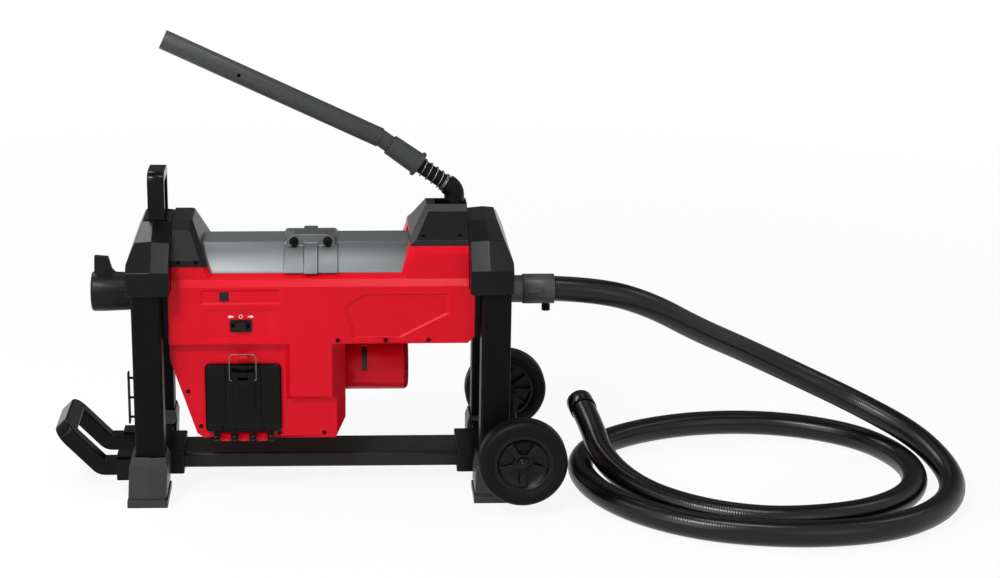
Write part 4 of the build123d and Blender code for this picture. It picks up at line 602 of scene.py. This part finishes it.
# Pad printing ink: matt warm white, thin but with a clear edge.
mark_white = grained(
    "white pad printing",
    "#E9E5E4",
    "#DED9D8",
    grain_mm=0.5,
    relief_mm=0.01,
    matt=0.55,
    glossy=0.45,
    specular=0.4,
)
mark_x = -114.25
mark_y = -109.0
mark_z = 330.1
mark_height = 0.12
ring_r = 3.4
ring_line = 0.8
ring_segments = 28
arrow_near = 12.0
arrow_neck = 17.0
arrow_far = 22.5
arrow_half = 2.9
shaft_half = 1.1
arrow_outline = (
    (arrow_near, -shaft_half),
    (arrow_neck, -shaft_half),
    (arrow_neck, -arrow_half),
    (arrow_far, 0),
    (arrow_neck, arrow_half),
    (arrow_neck, shaft_half),
    (arrow_near, shaft_half),
)
marks = bmesh.new()
for radius in (ring_r, ring_r - ring_line):
    bmesh.ops.create_circle(marks, segments=ring_segments, radius=radius * mm)
bmesh.ops.bridge_loops(marks, edges=marks.edges[:])
for way in (-1, 1):
    marks.faces.new([marks.verts.new((way * x * mm, z * mm, 0)) for x, z in arrow_outline])
bmesh.ops.recalc_face_normals(marks, faces=marks.faces[:])
raised = bmesh.ops.extrude_face_region(marks, geom=marks.faces[:])["geom"]
lifted = [item for item in raised if isinstance(item, bmesh.types.BMVert)]
bmesh.ops.translate(marks, verts=lifted, vec=(0, 0, mark_height * mm))
bmesh.ops.recalc_face_normals(marks, faces=marks.faces[:])
to_panel = Matrix.Translation((mark_x * mm, mark_y * mm, mark_z * mm))
upright = Matrix.Rotation(math.pi / 2, 4, "X")
bmesh.ops.transform(marks, matrix=to_panel @ upright, verts=marks.verts[:])
keep(marks, "switch_marks", mark_white)

# Battery door with its draw latch: a moulded lid on a hinge pin, a moulded lever and
# a bail bent from spring wire that hooks over the catch on the body.
dress(glossy_nylon, "battery_door", "latch_lever")
dress(black_nylon, "battery_pack")
soften(1.0, "battery_door", crease=30)
soften(0.6, "latch_lever", crease=30)
# Ribs across the latch lever give the thumb a hold.
rib_half = 8.5
rib_gap = 4.6
rib_rise = 0.9
rib_count = 5
rib_width = 1.8
rib_edge = 0.4
first_rib_z = 188.0
toe_flare = 3.0
latch_low, latch_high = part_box("latch_lever")
latch_x = (latch_low[0] + latch_high[0]) / 2
latch_face = latch_low[1] + toe_flare * mm
rib_size = Matrix.Diagonal((2 * rib_half * mm, 2 * rib_rise * mm, rib_width * mm, 1))
ribs = bmesh.new()
for k in range(rib_count):
    rib_place = Matrix.Translation((latch_x, latch_face, (first_rib_z + k * rib_gap) * mm))
    bmesh.ops.create_cube(ribs, size=1, matrix=rib_place @ rib_size)
bmesh.ops.bevel(
    ribs,
    geom=ribs.edges[:],
    offset=rib_edge * mm,
    segments=2,
    profile=0.5,
    affect="EDGES",
    material=-1,
)
keep(ribs, "latch_grip_ribs", glossy_nylon, "latch_lever")
# Oiled wire stays darker than ground steel, with a bright line along it.
spring_steel = grained(
    "oiled spring steel",
    "#6C6E70",
    "#7A7C7E",
    grain_mm=0.6,
    relief_mm=0.01,
    matt=0.34,
    glossy=0.24,
    specular=0.5,
    metallic=1.0,
)
dress(spring_steel, "latch_bail")
dress(blacked_steel, "pivot_pins")

# Clamp lever: forged elbow and rod blacked, a coil spring round the rod, a moulded
# sleeve, and a steel tube with a dark satin coat.
dress(blacked_steel, "lever_arm", "lever_bracket")
soften(0.6, "lever_arm", "lever_bracket", crease=30)


def new_curve(name, kind, places):
    """A curve in space with one spline through places, in metres."""
    curve = bpy.data.curves.new(name, "CURVE")
    curve.dimensions = "3D"
    spline = curve.splines.new(kind)
    spline.points.add(len(places) - 1)
    for point, place in zip(spline.points, places):
        point.co = (*place, 1)
    return curve, spline


def from_curve(curve):
    """A bmesh of a curve as Blender evaluates it; the curve itself is dropped."""
    holder = bpy.data.objects.new(curve.name, curve)
    bpy.context.scene.collection.objects.link(holder)
    bpy.context.view_layer.update()
    depsgraph = bpy.context.evaluated_depsgraph_get()
    mesh = bpy.data.meshes.new_from_object(holder.evaluated_get(depsgraph))
    mesh_data = bmesh.new()
    mesh_data.from_mesh(mesh)
    bpy.data.meshes.remove(mesh)
    bpy.data.objects.remove(holder)
    bpy.data.curves.remove(curve)
    return mesh_data


# The wire lies in two close turns on the elbow and four open ones up to the sleeve.
wire_r = 1.2
coil_r = 15.0
close_turns = 2
close_pitch = 2.8
open_turns = 4
open_pitch = 12.0
turn_steps = 40
rod_slope = math.radians(35.5)
along = Vector((-math.cos(rod_slope), 0, math.sin(rod_slope)))
across = Vector((0, 1, 0))
upward = along.cross(across)
spring_low, spring_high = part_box("lever_spring")
spring_middle = (Vector(spring_low) + Vector(spring_high)) / 2
coil_length = close_turns * close_pitch + open_turns * open_pitch
wire_line = []
for k in range((close_turns + open_turns) * turn_steps + 1):
    turn = k / turn_steps
    climb = min(turn, close_turns) * close_pitch + max(turn - close_turns, 0) * open_pitch
    swing = 2 * math.pi * turn
    ray = across * math.cos(swing) + upward * math.sin(swing)
    wire_line.append(spring_middle + (along * (climb - coil_length / 2) + ray * coil_r) * mm)
wire, spline = new_curve("spring_wire", "POLY", wire_line)
wire.bevel_depth = wire_r * mm
wire.bevel_resolution = 3
wire.use_fill_caps = True
coil = from_curve(wire)
seal(coil, merge_mm=0.001)
shade_round(coil)
open_spring = keep(coil, "open_spring", spring_steel, "clamp_lever")
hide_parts("lever_spring")
# The sleeve is left as moulded: matt, a shade greyer than the body's black covers.
sleeve_nylon = grained(
    "dark grey nylon",
    "#303132",
    "#393A3B",
    grain_mm=0.9,
    relief_mm=0.04,
    matt=0.6,
    glossy=0.45,
    specular=0.25,
)
dress(sleeve_nylon, "lever_sleeve")
soften(0.8, "lever_sleeve", crease=30)
# Satin paint: one soft line of light runs along the top of the tube.
lever_coat = grained(
    "dark grey satin paint",
    "#343536",
    "#3E3F40",
    grain_mm=1.8,
    relief_mm=0.02,
    matt=0.5,
    glossy=0.36,
    specular=0.25,
)
dress(lever_coat, "lever_tube")
soften(0.8, "lever_tube", crease=30)

# Feed lever and nose collar: black mouldings at the front end of the cable way.
# The lever tilts to push or pull the cable, and the collar turns on the pilot.
dress(glossy_nylon, "feed_lever")
dress(black_nylon, "nose_collar")
soften(1.0, "feed_lever", "nose_collar", crease=30)

# Rear spigot and hose coupling: grey castings clamped by a thumb screw.
# A thin clear lacquer leaves them satin.
grey_casting = grained(
    "grey lacquered casting",
    "#424344",
    "#4D4E4F",
    grain_mm=1.4,
    relief_mm=0.04,
    matt=0.5,
    glossy=0.36,
    specular=0.3,
    metallic=0.4,
)
dress(grey_casting, "rear_spigot", "hose_coupling")
soften(0.8, "rear_spigot", "hose_coupling", crease=30)
dress(blacked_steel, "thumb_screw")
soften(0.4, "thumb_screw", crease=30)

# Guide hose: flexible black vinyl with a close ribbed wall, pushed into the coupling.
# It droops to the floor, lies in one and a half turns and ends in a moulded cuff.
# Soft vinyl is black and shiny; the ribs break its highlights into fine cross lines.
hose_vinyl = grained(
    "black vinyl hose",
    "#040505",
    "#080909",
    grain_mm=1.5,
    relief_mm=0.004,
    matt=0.25,
    glossy=0.18,
    specular=0.33,
)
hose_r = 22.5
hose_bore_r = 18.0
bore_shown = 60.0
rib_pitch = 4.2
rib_depth = 0.34
rings_per_rib = 3
hose_route = [
    (432.5, 0, 345),
    (518, 0, 341),
    (609, 14, 309),
    (700, 54, 250),
    (797, 108, 194),
    (905, 132, 136),
    (1014, 98, 90),
    (1096, 15, 61),
    (1129, -82, 37),
    (1120, -170, 25),
    (1068, -256, 22.5),
    (980, -322, 22.5),
    (872, -348, 22.5),
    (757, -345, 22.5),
    (644, -312, 22.5),
    (552, -240, 22.5),
    (494, -142, 22.5),
    (478, -34, 22.5),
    (512, 60, 22.5),
    (590, 132, 22.5),
    (700, 180, 22.5),
    (815, 192, 22.5),
    (924, 168, 22.5),
    (1016, 108, 22.5),
    (1064, 22, 22.5),
    (1077, -76, 22.5),
    (1046, -172, 22.5),
    (968, -246, 22.5),
    (866, -280, 22.5),
    (758, -284, 22.5),
    (654, -238, 22.5),
    (570, -158, 27),
    (519, -66, 49),
    (510, 22, 79),
    (498, 106, 94),
]
route_places = [(x * mm, y * mm, z * mm) for x, y, z in hose_route]
route, spline = new_curve("hose_route", "NURBS", route_places)
spline.order_u = 3
spline.use_endpoint_u = True
spline.resolution_u = 60
route_mesh = from_curve(route)
line = [vert.co.copy() for vert in route_mesh.verts]
route_mesh.free()

# Rings are set at even steps along the route, and every third one is a groove between ribs.
run = [0.0]
for start, end in zip(line, line[1:]):
    run.append(run[-1] + (end - start).length)
hose_length = run[-1]
ring_count = round(hose_length / (rib_pitch * mm)) * rings_per_rib + 1
rings = []
at = 0
for k in range(ring_count):
    goal = hose_length * k / (ring_count - 1)
    while at < len(line) - 2 and run[at + 1] < goal:
        at += 1
    share = (goal - run[at]) / (run[at + 1] - run[at])
    rings.append(line[at].lerp(line[at + 1], share))
wall, spline = new_curve("guide_hose_wall", "POLY", rings)
wall.twist_mode = "MINIMUM"
wall.bevel_depth = hose_r * mm
wall.bevel_resolution = 12
wall.use_fill_caps = True
for hollow in list(spline.points)[::rings_per_rib]:
    hollow.radius = 1 - rib_depth / hose_r
hose = from_curve(wall)
seal(hose, merge_mm=0.001)
end_face = min(hose.faces, key=lambda face: (face.calc_center_median() - rings[-1]).length)
bmesh.ops.inset_region(hose, faces=[end_face], thickness=(hose_r - hose_bore_r) * mm)
bore = bmesh.ops.extrude_face_region(hose, geom=[end_face])["geom"]
bmesh.ops.delete(hose, geom=[end_face], context="FACES_ONLY")
bore_end = [item for item in bore if isinstance(item, bmesh.types.BMVert)]
inwards = (rings[-2] - rings[-1]).normalized()
bmesh.ops.translate(hose, verts=bore_end, vec=inwards * bore_shown * mm)
shade_round(hose)
guide_hose = keep(hose, "ribbed_hose", hose_vinyl)
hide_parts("guide_hose")
dress(hose_vinyl, "hose_cuff")
soften(0.8, "hose_cuff", crease=30)


# Studio: a plain pale floor that keeps the shadow, soft boxes and a white surround.
# The camera stands at the left side of the machine, a little above it.
def showing(tree, rays):
    """1 on rays that show what they meet: straight to the eye, mirrored or through glass."""
    shown = rays.outputs["Is Camera Ray"]
    for kind in ("Is Glossy Ray", "Is Transmission Ray"):
        both = {"Value": shown, "Value_001": rays.outputs[kind]}
        shown = add(tree, "ShaderNodeMath", both, operation="MAXIMUM").outputs[0]
    return shown


# White paper: shown nearly white round the machine, fully white from far_floor metres on.
floor_half = 30.0
near_floor = 0.9
far_floor = 3.5
near_white = 0.9
floor_paper, tree = start_material("white paper sweep")
shown = showing(tree, add(tree, "ShaderNodeLightPath", {}))
away = add(
    tree,
    "ShaderNodeVectorMath",
    {"Vector": add(tree, "ShaderNodeTexCoord", {}).outputs["Object"]},
    operation="LENGTH",
)
whiteness = add(
    tree,
    "ShaderNodeMapRange",
    {
        "Value": away.outputs["Value"],
        "From Min": near_floor,
        "From Max": far_floor,
        "To Min": near_white,
        "To Max": 1.0,
    },
)
share_shown = add(
    tree,
    "ShaderNodeMath",
    {"Value": shown, "Value_001": whiteness.outputs[0]},
    operation="MULTIPLY",
)
paper = add(tree, "ShaderNodeBsdfDiffuse", {"Color": linear("#EDEDED")})
white = add(tree, "ShaderNodeEmission", {"Color": linear("#FFFFFF"), "Strength": 1.0})
mixed = add(
    tree,
    "ShaderNodeMixShader",
    {"Fac": share_shown.outputs[0], "Shader": paper.outputs[0], "Shader_001": white.outputs[0]},
)
add(tree, "ShaderNodeOutputMaterial", {"Surface": mixed.outputs[0]})
sweep = bmesh.new()
bmesh.ops.create_grid(sweep, x_segments=1, y_segments=1, size=floor_half)
floor_mesh = bpy.data.meshes.new("floor")
sweep.to_mesh(floor_mesh)
sweep.free()
floor_mesh.materials.append(floor_paper)
floor = bpy.data.objects.new("floor", floor_mesh)
bpy.context.scene.collection.objects.link(floor)

# The surround is white to the eye; in reflections it dims from the walls to the dark
# ceiling behind the machine, and it lights the machine only faintly.
surround_light = 0.16
ceiling_way = (0, 0.8, 0.6)
ceiling_starts = 0.3
ceiling_full = 0.9
walls_shown = 0.9
ceiling_shown = 0.12
world = bpy.data.worlds.new("studio")
world.use_nodes = True
tree = world.node_tree
tree.nodes.clear()
rays = add(tree, "ShaderNodeLightPath", {})
shown = showing(tree, rays)
facing = add(
    tree,
    "ShaderNodeVectorMath",
    {"Vector": add(tree, "ShaderNodeTexCoord", {}).outputs["Generated"], "Vector_001": ceiling_way},
    operation="DOT_PRODUCT",
)
mirrored = add(
    tree,
    "ShaderNodeMapRange",
    {
        "Value": facing.outputs["Value"],
        "From Min": ceiling_starts,
        "From Max": ceiling_full,
        "To Min": walls_shown,
        "To Max": ceiling_shown,
    },
)
lit = add(
    tree,
    "ShaderNodeMapRange",
    {"Value": shown, "To Min": surround_light, "To Max": mirrored.outputs[0]},
)
strength = add(
    tree,
    "ShaderNodeMath",
    {"Value": lit.outputs[0], "Value_001": rays.outputs["Is Camera Ray"]},
    operation="MAXIMUM",
)
surround = add(tree, "ShaderNodeBackground", {"Color": linear("#FFFFFF"), "Strength": strength.outputs[0]})
add(tree, "ShaderNodeOutputWorld", {"Surface": surround.outputs[0]})
bpy.context.scene.world = world


def soft_box(name, place, *, width, height, watts):
    """A rectangular lamp that faces the middle of the machine."""
    machine_middle = Vector((0.1, 0, 0.25))
    lamp = bpy.data.lights.new(name, "AREA")
    lamp.shape = "RECTANGLE"
    lamp.size = width
    lamp.size_y = height
    lamp.energy = watts
    holder = bpy.data.objects.new(name, lamp)
    holder.location = place
    holder.rotation_euler = (machine_middle - Vector(place)).to_track_quat("-Z", "Y").to_euler()
    bpy.context.scene.collection.objects.link(holder)


soft_box("key_box", (-1.3, -2.2, 3.1), width=0.8, height=0.8, watts=86)
soft_box("top_box", (0.36, -0.76, 3.1), width=0.6, height=0.5, watts=19)
soft_box("front_box", (-2.3, -2.9, 1.7), width=2.0, height=1.6, watts=34)
soft_box("right_box", (1.9, -2.8, 1.5), width=1.2, height=1.6, watts=7)
soft_box("left_box", (-2.6, 0.1, 2.2), width=0.6, height=0.6, watts=8)
soft_box("right_glint", (2.4, 0.2, 2.2), width=0.5, height=0.5, watts=4)
soft_box("rear_box", (0.8, 2.6, 3.0), width=1.2, height=1.0, watts=3)
soft_box("back_box", (-1.2, 1.7, 2.8), width=1.4, height=0.8, watts=31)

# A long lens three and a half metres away, shifted sideways to frame the hose as well.
look_down = 16.5
turn_right = 1.2
view = bpy.data.cameras.new("camera")
view.lens = 75.0
view.sensor_width = 36.0
view.shift_x = 0.1235
camera = bpy.data.objects.new("camera", view)
camera.location = (0.0465, -3.513, 1.3866)
camera.rotation_euler = (math.radians(90 - look_down), 0, math.radians(-turn_right))
bpy.context.scene.collection.objects.link(camera)
bpy.context.scene.camera = camera
bpy.context.scene.view_settings.view_transform = "Standard"
